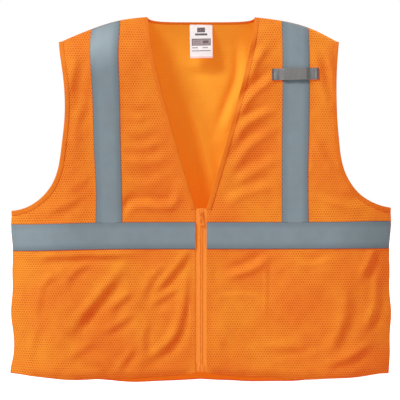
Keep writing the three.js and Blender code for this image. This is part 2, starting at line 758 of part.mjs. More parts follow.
// A crossbar through the bail, an arm on each side of it and the tab below.
function makePull() {
  const half = PULL_THICKNESS / 2;
  const armInner = BAIL_WIDTH / 2 + PULL_ARM_SPACE;
  const armOuter = armInner + PULL_THICKNESS;
  const frontY = PIVOT_Y - half;
  const backY = PIVOT_Y + half;
  const tabTop = PIVOT_Z - PULL_ARM_LENGTH;
  const crossbar = block([-armOuter, frontY, PIVOT_Z - half], [armOuter, backY, PIVOT_Z + half]);
  const arms = SIDES.map(({ sign }) => {
    const edges = [sign * armInner, sign * armOuter].sort((a, b) => a - b);
    return block([edges[0], frontY, tabTop - half], [edges[1], backY, PIVOT_Z + half]);
  });
  const tab = block([-PULL_WIDTH / 2, frontY, PIVOT_Z - PULL_LENGTH], [PULL_WIDTH / 2, backY, tabTop]);
  return joined(crossbar, ...arms, tab);
}

// ---------- Assembly ----------

addPiece('back_panel', makeBackPanel(), ORANGE_CLOTH);
addPiece('back_neck_binding', makeBackNeckBinding(), ORANGE_TRIM);
addPiece('back_hem', makeBackHem(), ORANGE_TRIM);
addPiece('back_belt_tape', makeBackBeltTape(), REFLECTIVE);

for (const { name, sign } of SIDES) {
  addPiece(`${name}_front_panel`, makeFrontPanel(sign), ORANGE_CLOTH);
  addPiece(`${name}_flap_panel`, makeFlapPanel(sign), ORANGE_CLOTH);
  addPiece(`${name}_neck_binding`, makeNeckBinding(sign), ORANGE_TRIM);
  addPiece(`${name}_flap_neck_binding`, makeFlapNeckBinding(sign), ORANGE_TRIM);
  addPiece(`${name}_armhole_binding`, makeArmholeBinding(sign), ORANGE_TRIM);
  addPiece(`${name}_front_hem`, makeFrontHem(sign), ORANGE_TRIM);
  addPiece(`${name}_flap_hem`, makeFlapHem(sign), ORANGE_TRIM);
  addPiece(`${name}_shoulder_seam`, makeShoulderSeam(sign), ORANGE_TRIM);
  addPiece(`${name}_side_seam`, makeSideSeam(sign), ORANGE_TRIM);
  addPiece(`${name}_front_tape`, makeVerticalTape(sign, -1), REFLECTIVE);
  addPiece(`${name}_back_tape`, makeVerticalTape(sign, 1), REFLECTIVE);
  addPiece(`${name}_belt_tape`, makeBeltTape(sign), REFLECTIVE);
  addPiece(`${name}_flap_belt_tape`, makeFlapBeltTape(sign), REFLECTIVE);
  addPiece(`${name}_inner_pocket`, makePocket(sign), ORANGE_CLOTH);
  addPiece(`${name}_zip_tape`, makeZipTape(sign), ORANGE_TRIM);
  addPiece(`${name}_top_stop`, makeTopStop(sign), ORANGE_PLASTIC);
}

addPiece('right_zip_coil', makeZipCoil(-1, SLIDER_TOP_Z), ORANGE_PLASTIC);
addPiece('left_zip_coil', makeZipCoil(1, SLIDER_BOTTOM_Z - GAP), ORANGE_PLASTIC);
addPiece('retainer_pin', makeZipPin(-1), ORANGE_PLASTIC);
addPiece('insertion_pin', makeZipPin(1), ORANGE_PLASTIC);
addPiece('retainer_box', makeRetainerBox(), ORANGE_PLASTIC);
addPiece('slider_body', makeSlider(), ORANGE_PLASTIC);
addPiece('pull_tab', makePull(), ORANGE_PLASTIC);

addPiece('mic_tab', makeMicTab(), GREY_WEBBING);
addPiece('mic_tab_inner_bartack', makeBartack(-1), GREY_WEBBING);
addPiece('mic_tab_outer_bartack', makeBartack(1), GREY_WEBBING);
addPiece('neck_label', makeLabel(), LABEL_CLOTH);

export default vest;
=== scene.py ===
# High visibility vest: the cloth, tapes, bindings, zip and trim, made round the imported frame.
# Lengths are in millimetres until an object is made, which is in metres.

import math

import bpy
import numpy as np
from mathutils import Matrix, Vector
from mathutils.geometry import tessellate_polygon
from mathutils.noise import noise as smooth_noise


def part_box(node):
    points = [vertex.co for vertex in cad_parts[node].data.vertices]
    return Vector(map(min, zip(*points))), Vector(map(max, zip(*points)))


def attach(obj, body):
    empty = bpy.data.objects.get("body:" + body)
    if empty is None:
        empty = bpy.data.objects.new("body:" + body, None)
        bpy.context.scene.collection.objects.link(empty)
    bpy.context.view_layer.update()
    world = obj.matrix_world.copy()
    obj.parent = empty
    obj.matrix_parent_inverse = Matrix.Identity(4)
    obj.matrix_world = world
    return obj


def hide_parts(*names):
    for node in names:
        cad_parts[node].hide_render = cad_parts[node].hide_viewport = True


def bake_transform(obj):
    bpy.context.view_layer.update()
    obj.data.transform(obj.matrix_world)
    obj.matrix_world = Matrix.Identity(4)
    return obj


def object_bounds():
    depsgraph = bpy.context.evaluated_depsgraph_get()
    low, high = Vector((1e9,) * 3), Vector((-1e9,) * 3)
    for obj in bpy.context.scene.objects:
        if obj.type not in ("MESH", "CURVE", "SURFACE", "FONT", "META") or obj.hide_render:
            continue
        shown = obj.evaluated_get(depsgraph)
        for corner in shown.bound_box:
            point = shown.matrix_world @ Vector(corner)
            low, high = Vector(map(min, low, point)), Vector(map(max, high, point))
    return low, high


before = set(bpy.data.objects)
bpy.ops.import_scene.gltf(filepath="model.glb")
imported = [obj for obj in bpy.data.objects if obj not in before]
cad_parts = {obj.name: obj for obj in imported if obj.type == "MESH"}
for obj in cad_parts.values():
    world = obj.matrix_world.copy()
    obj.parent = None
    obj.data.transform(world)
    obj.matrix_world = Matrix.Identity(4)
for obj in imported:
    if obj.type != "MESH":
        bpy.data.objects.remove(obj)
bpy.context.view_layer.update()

MM = 0.001


def node_box(node):
    """The lowest and highest corner of a CAD node, in millimetres."""
    low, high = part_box(node)
    return np.array(low) / MM, np.array(high) / MM


# ---------- Garment outline ----------

CHEST = node_box("back_hem")[1][0]
TIP_X, TIP_Z = 262, -41
SHOULDER_STRAIGHTNESS = 0.31
NECK_HALF, NECK_Z = 102, 8.5
BACK_NECK_CORNER = 22
UNDERARM_Z = -356
ARMHOLE_SCOOP = 18
ZIP_EDGE = 10.6
V_BOTTOM_Z = node_box("right_top_stop")[1][2] + 0.3
V_BOW = 10
SIDE_HEM_Z = -668
FRONT_HEM_Z = -664
FRONT_HEM_BELLY = 12
BACK_HEM_Z = -680
BACK_HEM_BELLY = 9

# ---------- Garment depth ----------

FLAT = -node_box("right_flap_hem")[1][1]
SEAM_GAP = 0.12
SIDE_ROUNDING = 120
SHOULDER_ROUNDING = 90

# ---------- Cloth and trim ----------

CELL = 3.6
PANEL_THICKNESS = 0.8
BINDING_WIDTH = 9
BINDING_THICKNESS = 2.0
BINDING_LAP = 4
HEM_HEIGHT = 20
HEM_TUCK = 3
HEM_THICKNESS = 1.7
HEM_ROLL = 8.5
TAPE_INNER, TAPE_THICKNESS = 1.1, 0.5
TAPE_CROWN = 0.8
TAPE_LOW_X, TAPE_HIGH_X = (corner[0] for corner in node_box("left_front_tape"))
TAPE_X = (TAPE_LOW_X + TAPE_HIGH_X) / 2
TAPE_HALF = (TAPE_HIGH_X - TAPE_LOW_X) / 2
BELT_LOW_Z, BELT_HIGH_Z = (corner[2] for corner in node_box("back_belt_tape"))
BELT_Z = (BELT_LOW_Z + BELT_HIGH_Z) / 2
SEAM_WIDTH = 10

FRONT, BACK = -1, 1
SIDES = (("right", -1), ("left", 1))


def lerp(start, end, share):
    return start + (end - start) * share


def smooth(share):
    held = np.clip(share, 0, 1)
    return held * held * (3 - 2 * held)


def ease_out(share):
    return 1 - (1 - np.clip(share, 0, 1)) ** 2


def band(distance, half, soft):
    """1 within half of the middle of a strip, falling to 0 over the soft width beside it."""
    return 1 - smooth((np.abs(distance) - half) / soft)


def unit(vectors):
    return vectors / np.linalg.norm(vectors, axis=1, keepdims=True)


def distance_along(path):
    """How far along a path each of its points lies."""
    steps = np.linalg.norm(np.diff(path, axis=0), axis=1)
    return np.concatenate([[0], np.cumsum(steps)])


def shoulder_line(x):
    share = np.maximum(np.abs(x) - NECK_HALF, 0) / (TIP_X - NECK_HALF)
    bend = SHOULDER_STRAIGHTNESS * share + (1 - SHOULDER_STRAIGHTNESS) * share ** 2
    return NECK_Z - (NECK_Z - TIP_Z) * bend


def half_depth(x, z):
    """How far the cloth's inner face stands from the middle plane when it hangs smooth."""
    side = ease_out((CHEST - np.abs(x)) / SIDE_ROUNDING)
    shoulder = ease_out((shoulder_line(x) - z) / SHOULDER_ROUNDING)
    return SEAM_GAP + (FLAT - SEAM_GAP) * side * shoulder


def hem_line(x, face):
    share = np.abs(x) / CHEST
    if face == BACK:
        return lerp(BACK_HEM_Z, SIDE_HEM_Z, share) - BACK_HEM_BELLY * 4 * share * (1 - share)
    return lerp(FRONT_HEM_Z, SIDE_HEM_Z, share) - FRONT_HEM_BELLY * 4 * share * (1 - share)


TANGENT_STEP = 1e-4


class Curve:
    """A Bezier curve in X and Z."""

    def __init__(self, *points):
        self.points = np.array(points, float)

    def at(self, share):
        share = np.atleast_1d(share)[:, None]
        level = [point[None, :] + 0 * share for point in self.points]
        while len(level) > 1:
            level = [lerp(a, b, share) for a, b in zip(level, level[1:])]
        return level[0]

    def tangent(self, share):
        step = TANGENT_STEP
        ahead = self.at(np.minimum(np.atleast_1d(share) + step, 1))
        behind = self.at(np.maximum(np.atleast_1d(share) - step, 0))
        return unit(ahead - behind)

    def beside(self, share, distance):
        """Points at a distance to the left of the curve's direction."""
        tangent = self.tangent(share)
        normal = np.stack([-tangent[:, 1], tangent[:, 0]], -1)
        return self.at(share) + normal * np.reshape(distance, (-1, 1))


ARMHOLE_DROP = TIP_Z - UNDERARM_Z
ARMHOLE_UPPER_PULL = 0.44
ARMHOLE_LOWER_PULL = 0.02
V_PULL = 0.27
BACK_NECK_LEAN = 2
armhole_edge = Curve(
    (TIP_X, TIP_Z),
    (TIP_X - ARMHOLE_SCOOP, TIP_Z - ARMHOLE_UPPER_PULL * ARMHOLE_DROP),
    (TIP_X, UNDERARM_Z + ARMHOLE_LOWER_PULL * ARMHOLE_DROP),
    (CHEST, UNDERARM_Z),
)
v_edge = Curve(
    (NECK_HALF, NECK_Z),
    (NECK_HALF - V_BOW, lerp(NECK_Z, V_BOTTOM_Z, V_PULL)),
    (ZIP_EDGE, V_BOTTOM_Z),
)
back_neck_edge = Curve(
    (NECK_HALF, NECK_Z),
    (NECK_HALF - BACK_NECK_LEAN, 0),
    (NECK_HALF - BACK_NECK_CORNER, 0),
    (0, 0),
)

# ---------- Folds ----------
# Each fold is a soft ridge along a path: its height, its width, how deep the valley on the
# left of its direction is (a share of its height), and the points that it passes through.

FRONT_FOLDS = (
    # lower right of the garment
    (3.6, 7, 0.9, (-112, -441), (-200, -440), (-330, -443)),
    (4.6, 10, 0.8, (-150, -466), (-200, -524), (-250, -588)),
    (2.4, 7, 0.8, (-128, -506), (-178, -548)),
    (2.4, 7, 0.8, (-124, -550), (-188, -590)),
    (2.6, 7, 0.8, (-125, -612), (-163, -664)),
    (3.9, 8, 0.8, (-22, -432), (-55, -472), (-92, -514)),
    (2.6, 7, 0.8, (-46, -502), (-98, -538)),
    (4.2, 9, 0.8, (-24, -466), (-31, -520), (-41, -566), (-54, -596), (-80, -622), (-118, -645)),
    (2.0, 7, 0.5, (-262, -470), (-300, -500), (-310, -560)),
    (2.2, 9, 0.6, (-300, -560), (-325, -610), (-318, -655)),
    (1.8, 8, 0.6, (-200, -600), (-255, -640)),
    (2.2, 8, 0.8, (-60, -452), (-96, -486), (-118, -530)),
    (2.0, 7, 0.8, (-200, -452), (-236, -470), (-262, -500)),
    (2.4, 8, 0.8, (-96, -560), (-112, -600), (-104, -640)),
    (2.6, 9, 0.8, (-270, -592), (-226, -628), (-180, -652)),
    (2.4, 9, 0.7, (-338, -470), (-346, -540), (-336, -600)),
    # lower left of the garment
    (4.2, 8, 0.9, (40, -487), (97, -468), (132, -444)),
    (1.4, 5, 0.5, (20, -521), (70, -518), (124, -521)),
    (1.2, 3, 0.7, (124, -446), (123, -500), (123, -566)),
    (3.4, 11, 0.8, (276, -496), (268, -560), (238, -634)),
    (2.8, 10, 0.7, (212, -612), (165, -617), (112, -606)),
    (4.4, 8, 0.8, (333, -426), (318, -456), (300, -488)),
    (4.6, 9, 0.9, (336, -474), (330, -532), (308, -590)),
    (3.6, 9, 0.8, (324, -602), (282, -634), (226, -652)),
    (2.4, 10, 0.6, (26, -560), (62, -612), (110, -640)),
    (1.8, 7, 0.8, (150, -446), (206, -462), (262, -446)),
    (2.0, 8, 0.8, (26, -596), (46, -630), (84, -656)),
    (1.8, 8, 0.7, (140, -640), (190, -636), (232, -618)),
    # upper right of the garment
    (3.0, 9, 0.8, (-156, -262), (-105, -268), (-56, -257)),
    (4.6, 8, 1.1, (-148, -378), (-126, -351), (-56, -349), (-42, -312)),
    (2.4, 8, 0.7, (-152, -300), (-100, -309), (-60, -290)),
    (1.8, 10, 0.6, (-150, -206), (-110, -210), (-80, -196)),
    (2.2, 9, 0.6, (-150, -140), (-118, -160), (-96, -150)),
    (3.2, 9, 0.8, (-226, -56), (-238, -100), (-249, -150)),
    (1.6, 10, 0.6, (-216, -190), (-236, -240)),
    (1.8, 10, 0.6, (-214, -290), (-262, -322)),
    (2.0, 7, 0.8, (-150, -238), (-112, -240), (-70, -228)),
    (1.8, 7, 0.8, (-148, -176), (-124, -186), (-100, -180)),
    (2.0, 8, 0.8, (-214, -140), (-236, -196), (-240, -250)),
    (1.8, 8, 0.8, (-222, -322), (-262, -346), (-312, -362)),
    # upper left of the garment
    (4.4, 8, 0.9, (93, -114), (104, -78), (128, -42)),
    (4.8, 8, 0.9, (72, -184), (92, -146), (148, -98)),
    (4.0, 8, 0.9, (66, -236), (84, -196), (144, -166)),
    (4.0, 9, 0.9, (58, -282), (92, -238), (140, -204)),
    (3.0, 9, 0.8, (60, -314), (98, -286), (146, -262)),
    (3.2, 9, 0.8, (42, -350), (84, -326), (146, -312)),
    (2.4, 8, 0.8, (214, -60), (226, -110), (240, -170)),
    (2.2, 7, 0.8, (228, -36), (242, -70), (248, -112)),
    (2.2, 8, 0.8, (212, -330), (258, -346), (318, -362)),
    (2.2, 9, 0.6, (212, -220), (236, -262), (262, -290)),
)
BACK_FOLDS = (
    (5.0, 10, 0.8, (-42, -150), (-10, -238), (10, -345)),
    (4.6, 9, 0.8, (66, -36), (68, -98), (47, -158), (26, -214)),
    (2.2, 9, 0.8, (-34, -92), (10, -98), (52, -90)),
    (3.4, 14, 0.5, (-70, -440), (-84, -540), (-78, -650)),
    (4.4, 13, 0.6, (96, -438), (120, -540), (108, -655)),
    (3.6, 12, 0.6, (-226, -436), (-252, -530), (-292, -612)),
    (3.8, 12, 0.6, (246, -440), (262, -520), (306, -596)),
    (3.4, 11, 0.7, (-142, -190), (-90, -250), (-60, -330)),
    (3.2, 11, 0.7, (148, -210), (104, -280), (74, -350)),
    (2.8, 10, 0.6, (-214, -120), (-238, -190), (-232, -270)),
    (2.8, 10, 0.6, (216, -90), (234, -160), (240, -250)),
    (2.6, 10, 0.6, (-20, -440), (-6, -500), (22, -560)),
)
# Each bulge: its height, its reach in X and Z, and its middle.
BULGES = {
    FRONT: ((4.0, 52, 62, (184, -522)), (3.0, 70, 50, (-236, -520)), (2.5, 40, 60, (-80, -570))),
    BACK: ((5.0, 90, 120, (-150, -300)), (5.0, 90, 120, (150, -300)), (4.0, 120, 70, (0, -560))),
}
FOLD_SHARE = {FRONT: 1.0, BACK: 1.3}
RELIEF_STEP = 2.0
RELIEF_MARGIN = 12
PATH_STEPS = 9
FADE_SHARE = 0.3
FADED_HEIGHT = 0.15
VALLEY_OFFSET = 1.8
VALLEY_WIDTH = 1.15
# Smooth noise on the cloth: its height, size, turn, stretch and seed.
WIDE_RIPPLE = (2.4, 70, 0.9, 1.5, 0)
CREASES = (1.1, 24, 0.87, 2.6, 3)
CREASES_TURNED = (1.1, 24, -0.87, 2.6, 5)
FINE_RIPPLE = (0.35, 9, 0.2, 1.6, 7)
LOOSE_RIPPLE = (0.5, 46, 1.2, 2.0, 11)
# How wide the band is in which the cloth comes to rest beside something that holds it.
SIDE_HOLD = 34
SHOULDER_HOLD = 40
TAPE_HOLD = 9
BELT_HOLD = 8
V_HOLD = 34
ZIP_HOLD = 16
ZIP_MARGIN = 3
TAPE_STIFFNESS = 0.85
TAPE_FOOT_HOLD = 6
HEM_ROLL_REACH = 16
HEM_ROLL_SOFTNESS = 26
HEM_ROLL_SIDE = 60
SEAM_HOLD, TOP_HOLD = 30, 20
ZIP_FLAT_SOFTNESS = 8
ZIP_FLAT_ABOVE, ZIP_FLAT_FADE = 20, 30


def smooth_path(points):
    """A Catmull-Rom path through a few points."""
    knots = np.array([points[0], *points, points[-1]], float)
    found = []
    for p0, p1, p2, p3 in zip(knots, knots[1:], knots[2:], knots[3:]):
        for share in np.arange(PATH_STEPS) / PATH_STEPS:
            found.append(
                p1 + 0.5 * share * (p2 - p0 + share * (2 * p0 - 5 * p1 + 4 * p2 - p3
                                                      + share * (3 * (p1 - p2) + p3 - p0)))
            )
    return np.array([*found, knots[-1]])


def fold_relief(fold, x, z):
    height, width, valley, *points = fold
    path = smooth_path(points)
    steps = np.diff(path, axis=0)
    lengths = np.linalg.norm(steps, axis=1)
    travelled = distance_along(path)
    nearest = np.full(x.shape, np.inf)
    offset = np.zeros(x.shape)
    share = np.zeros(x.shape)
    for start, step, length, before in zip(path, steps, lengths, travelled):
        dx, dz = x - start[0], z - start[1]
        along_it = np.clip((dx * step[0] + dz * step[1]) / length ** 2, 0, 1)
        away = np.hypot(dx - along_it * step[0], dz - along_it * step[1])
        side = np.sign(step[0] * dz - step[1] * dx)
        closer = away < nearest
        nearest = np.where(closer, away, nearest)
        offset = np.where(closer, away * side, offset)
        share = np.where(closer, (before + along_it * length) / travelled[-1], share)
    fade = smooth(share / FADE_SHARE) * smooth((1 - share) / FADE_SHARE)
    fade = fade * (1 - FADED_HEIGHT) + FADED_HEIGHT
    ridge = np.exp(-((offset / width) ** 2))
    hollow = np.exp(-(((offset - VALLEY_OFFSET * width) / (VALLEY_WIDTH * width)) ** 2))
    return height * fade * (ridge - valley * hollow)


def bulge_relief(bulge, x, z):
    height, half_x, half_z, (centre_x, centre_z) = bulge
    return height * np.exp(-(((x - centre_x) / half_x) ** 2) - ((z - centre_z) / half_z) ** 2)


def ripple(x, z, form, seed):
    """Smooth noise of one size, longer along one direction than across it."""
    height, size, turn, stretch, own_seed = form
    along_it = (x * math.cos(turn) + z * math.sin(turn)) / (size * stretch)
    across = (z * math.cos(turn) - x * math.sin(turn)) / size
    pairs = zip(along_it.ravel(), across.ravel())
    noise = [smooth_noise(Vector((u, v, seed + own_seed))) for u, v in pairs]
    return height * np.array(noise).reshape(x.shape)


def near_zip(x):
    """0 beside the zip, where its tape holds the cloth, and 1 away from it."""
    return smooth((np.abs(x) - ZIP_EDGE - ZIP_MARGIN) / ZIP_HOLD)


def freedom(x, z, face):
    """How freely the cloth may fold: 0 where it is sewn to something stiff, 1 where it is loose."""
    side = smooth((CHEST - np.abs(x)) / SIDE_HOLD)
    shoulder = smooth((shoulder_line(x) - z) / SHOULDER_HOLD)
    on_tape = band(np.abs(x) - TAPE_X, TAPE_HALF, TAPE_HOLD) * smooth((z - BELT_LOW_Z) / TAPE_FOOT_HOLD)
    on_belt = band(z - BELT_Z, TAPE_HALF, BELT_HOLD)
    loose = side * shoulder * (1 - TAPE_STIFFNESS * np.maximum(on_tape, on_belt))
    if face == FRONT:
        below_v = smooth((V_BOTTOM_Z + V_HOLD - z) / V_HOLD)
        loose = loose * (1 - below_v * (1 - near_zip(x)))
    return loose


class Relief:
    """How far one face's cloth stands out from the smooth surface, kept on a grid."""

    def __init__(self, face, folds, seed):
        self.low = np.array([-CHEST - RELIEF_MARGIN, BACK_HEM_Z - RELIEF_MARGIN])
        columns = np.arange(self.low[0], CHEST + RELIEF_MARGIN, RELIEF_STEP)
        rows = np.arange(self.low[1], NECK_Z + RELIEF_MARGIN, RELIEF_STEP)
        x, z = np.meshgrid(columns, rows)
        height = FOLD_SHARE[face] * sum(fold_relief(fold, x, z) for fold in folds)
        height += sum(bulge_relief(bulge, x, z) for bulge in BULGES[face])
        creases = ripple(x, z, CREASES, seed)
        if face == BACK:
            creases = np.where(x < 0, creases, ripple(x, z, CREASES_TURNED, seed))
        height += ripple(x, z, WIDE_RIPPLE, seed)
        height += creases
        height += ripple(x, z, FINE_RIPPLE, seed)
        height *= freedom(x, z, face)
        seams = smooth((CHEST - np.abs(x)) / SEAM_HOLD) * smooth((shoulder_line(x) - z) / TOP_HOLD)
        height += ripple(x, z, LOOSE_RIPPLE, seed) * seams
        held = near_zip(x) if face == FRONT else 1
        roll = smooth((hem_line(x, face) + HEM_ROLL_REACH - z) / HEM_ROLL_SOFTNESS) * held
        self.height = height - HEM_ROLL * roll * smooth((CHEST - np.abs(x)) / HEM_ROLL_SIDE)
        if face == FRONT:
            under_v = smooth((V_BOTTOM_Z + ZIP_FLAT_ABOVE - z) / ZIP_FLAT_FADE)
            self.height *= 1 - band(x, ZIP_EDGE, ZIP_FLAT_SOFTNESS) * under_v

    def __call__(self, x, z):
        rows, columns = self.height.shape
        u = np.clip((x - self.low[0]) / RELIEF_STEP, 0, columns - 1.001)
        v = np.clip((z - self.low[1]) / RELIEF_STEP, 0, rows - 1.001)
        i, j = v.astype(int), u.astype(int)
        low = lerp(self.height[i, j], self.height[i, j + 1], u - j)
        high = lerp(self.height[i + 1, j], self.height[i + 1, j + 1], u - j)
        return lerp(low, high, v - i)


relief = {FRONT: Relief(FRONT, FRONT_FOLDS, 3.1), BACK: Relief(BACK, BACK_FOLDS, 41.7)}


# Where the cloth lies a little off its pattern: the middle of each tug, its reach in X and Z,
# and how far it pulls the cloth in X and Z.
TUGS = (
    ((-262, -50), (60, 70), (-8, 1)),
    ((-275, -318), (60, 60), (9, 0)),
    ((268, -300), (50, 70), (-7, 0)),
    ((338, -352), (50, 26), (0, 4)),
    ((205, -12), (70, 40), (0, 4)),
    ((-150, -8), (50, 30), (2, 3)),
    ((-178, -40), (46, 90), (-5, 0)),
    ((-178, -370), (46, 110), (5, 0)),
    ((178, -90), (46, 120), (2, 0)),
    ((-350, -404), (120, 60), (0, -5)),
    ((350, -404), (160, 50), (0, 1)),
    ((-340, -630), (50, 50), (5, 0)),
    ((-362, -668), (34, 30), (-8, 3)),
    ((250, -680), (90, 50), (0, 2)),
)


# Small waves of the side seams and the hems: their height, length and start.
SIDE_WAVES = ((1.5, 31.0, 0.8), (0.9, 13.0, 0.0))
HEM_WAVES = ((1.4, 41.0, 1.0), (0.7, 17.0, 0.0))
SIDE_WAVE_POWER = 6
HEM_WAVE_REACH = 40
HEM_WAVE_START, HEM_WAVE_FADE = 30, 60


def waves(place, forms, turn=1):
    return sum(height * np.sin(place / length + start * turn) for height, length, start in forms)


def tugged(x, z):
    """Where a point of the flat pattern lies, seen from the front."""
    moved_x = x + 0 * z
    moved_z = z + 0 * x
    for centre, reach, shift in TUGS:
        share = np.exp(-(((x - centre[0]) / reach[0]) ** 2) - ((z - centre[1]) / reach[1]) ** 2)
        moved_x = moved_x + shift[0] * share
        moved_z = moved_z + shift[1] * share
    return moved_x, moved_z


def on_cloth(x, z, face, layer):
    """The place of a point of the cloth, layer millimetres outside its inner face."""
    y = face * (half_depth(x, z) + relief[face](x, z) + layer)
    at_side = (np.abs(x) / CHEST) ** SIDE_WAVE_POWER * np.sign(x)
    moved_x, moved_z = tugged(x, z)
    waved_x = moved_x + at_side * waves(z, SIDE_WAVES)
    near_hem = smooth((hem_line(x, face) + HEM_WAVE_REACH - z) / HEM_WAVE_REACH)
    near_hem = near_hem * smooth((np.abs(x) - HEM_WAVE_START) / HEM_WAVE_FADE)
    waved_z = moved_z + near_hem * waves(x, HEM_WAVES, face)
    return np.stack([waved_x, y + 0 * x, waved_z], -1)


# ---------- Meshes ----------


def volume_of(vertices, faces):
    total = 0.0
    for face in faces:
        corners = vertices[list(face)]
        for second, third in zip(corners[1:], corners[2:]):
            total += np.dot(corners[0], np.cross(second, third))
    return total


CLOTH_SHARP = 55
HARD_SHARP = 40


def make_object(name, vertices, faces, uv, sharp=CLOTH_SHARP):
    """A smooth-shaded mesh with its faces pointing out, from millimetres."""
    vertices = np.asarray(vertices, float)
    if volume_of(vertices - vertices.mean(0), faces) < 0:
        faces = [face[::-1] for face in faces]
    mesh = bpy.data.meshes.new(name)
    mesh.from_pydata((vertices * MM).tolist(), [], [tuple(map(int, face)) for face in faces])
    mesh.polygons.foreach_set("use_smooth", [True] * len(mesh.polygons))
    mesh.set_sharp_from_angle(angle=math.radians(sharp))
    layer = mesh.uv_layers.new(name="UVMap")
    corners = np.zeros(len(mesh.loops), np.int32)
    mesh.loops.foreach_get("vertex_index", corners)
    layer.data.foreach_set("uv", (np.asarray(uv, float) * MM)[corners].ravel())
    made = bpy.data.objects.new(name, mesh)
    bpy.context.scene.collection.objects.link(made)
    return made


def grid_faces(rows, columns, first=0):
    index = np.arange(rows * columns).reshape(rows, columns) + first
    corners = (index[:-1, :-1], index[:-1, 1:], index[1:, 1:], index[1:, :-1])
    return np.stack(corners, -1).reshape(-1, 4)


def rim_of(grid):
    """The outer edge of a grid, once round."""
    return np.concatenate([grid[0], grid[1:, -1], grid[-1, -2::-1], grid[-2:0:-1, 0]])


def sheet_faces(rows, columns, first=0):
    """The faces of a closed sheet made of an inner grid and an outer one."""
    count = rows * columns
    under = grid_faces(rows, columns, first)[:, ::-1]
    over = grid_faces(rows, columns, first + count)
    rim = rim_of(np.arange(count).reshape(rows, columns) + first)
    ahead = np.roll(rim, -1)
    walls = np.stack([rim, ahead, ahead + count, rim + count], -1)
    return np.concatenate([under, over, walls]).tolist()


def tube_faces(count, sides, closed=False):
    """The faces of a tube of rings, capped at its ends unless it closes on itself."""
    faces = []
    for i in range(count if closed else count - 1):
        here, there = i * sides, (i + 1) % count * sides
        for j in range(sides):
            k = (j + 1) % sides
            faces.append([here + j, here + k, there + k, there + j])
    if not closed:
        faces.append(list(range(sides))[::-1])
        faces.append([(count - 1) * sides + j for j in range(sides)])
    return faces


def circles(centre, radius, across, up, sides):
    """A ring of points round each centre, in the plane of two directions."""
    turns = np.arange(sides) / sides * math.tau
    ring = [centre + radius * (math.cos(turn) * across + math.sin(turn) * up) for turn in turns]
    return np.stack(ring, 1)


def closed_sheet(name, inner, outer, uv):
    """A thin closed sheet between two grids of points."""
    vertices = np.concatenate([inner.reshape(-1, 3), outer.reshape(-1, 3)])
    flat = uv.reshape(-1, 2)
    return make_object(name, vertices, sheet_faces(*inner.shape[:2]), np.concatenate([flat, flat]))


def swept(name, rings, uv, closed=False):
    """A piece made of rings of points, open or closed on itself."""
    faces = tube_faces(*rings.shape[:2], closed)
    return make_object(name, rings.reshape(-1, 3), faces, uv.reshape(-1, 2))


def coons(bottom, top, left, right):
    """A grid of points between four edges, left to right and bottom to top."""
    u = np.linspace(0, 1, len(bottom))[None, :, None]
    v = np.linspace(0, 1, len(left))[:, None, None]
    across = lerp(left[:, None], right[:, None], u)
    upward = lerp(bottom[None], top[None], v)
    low_corners = lerp(bottom[0], bottom[-1], u)
    high_corners = lerp(top[0], top[-1], u)
    return across + upward - lerp(low_corners, high_corners, v)


def rectangle(low_x, high_x, low_z, high_z, cell=CELL):
    """A grid over a rectangle whose low and high edges may be functions of X."""
    columns = max(int(round(abs(high_x - low_x) / cell)), 2)
    x = np.linspace(low_x, high_x, columns + 1)
    low = low_z(x) if callable(low_z) else np.full_like(x, low_z)
    high = high_z(x) if callable(high_z) else np.full_like(x, high_z)
    rows = max(int(round((high - low).max() / cell)), 2)
    v = np.linspace(0, 1, rows + 1)[:, None]
    return np.stack([x[None] + 0 * v, lerp(low[None], high[None], v)], -1)


def mirrored(grid, side):
    return grid * np.array([side, 1])


def sheet_on(name, grid, face, inner, outer, lift=0.0, uv=None):
    x, z = grid[..., 0], grid[..., 1]
    under = on_cloth(x, z, face, inner + lift)
    over = on_cloth(x, z, face, outer + lift)
    return closed_sheet(name, under, over, grid if uv is None else uv)


def flat_area(grid):
    """The area of a grid's outline, in square metres."""
    x, z = rim_of(grid).T
    return abs(np.sum(x * np.roll(z, -1) - z * np.roll(x, -1))) / 2 * MM * MM


# ---------- Stitches ----------

STITCH_PITCH = 3.8
STITCH_LENGTH = 2.9
STITCH_RADIUS = 0.24
STITCH_SIDES = 5
STITCH_START = 0.4
LINE_STEP = 2.0
# Each ring of a stitch: where along it, how wide, and how far it stands out.
STITCH_RINGS = ((0.0, 0.35, -0.35), (0.2, 0.95, 0.0), (0.8, 0.95, 0.0), (1.0, 0.35, -0.35))


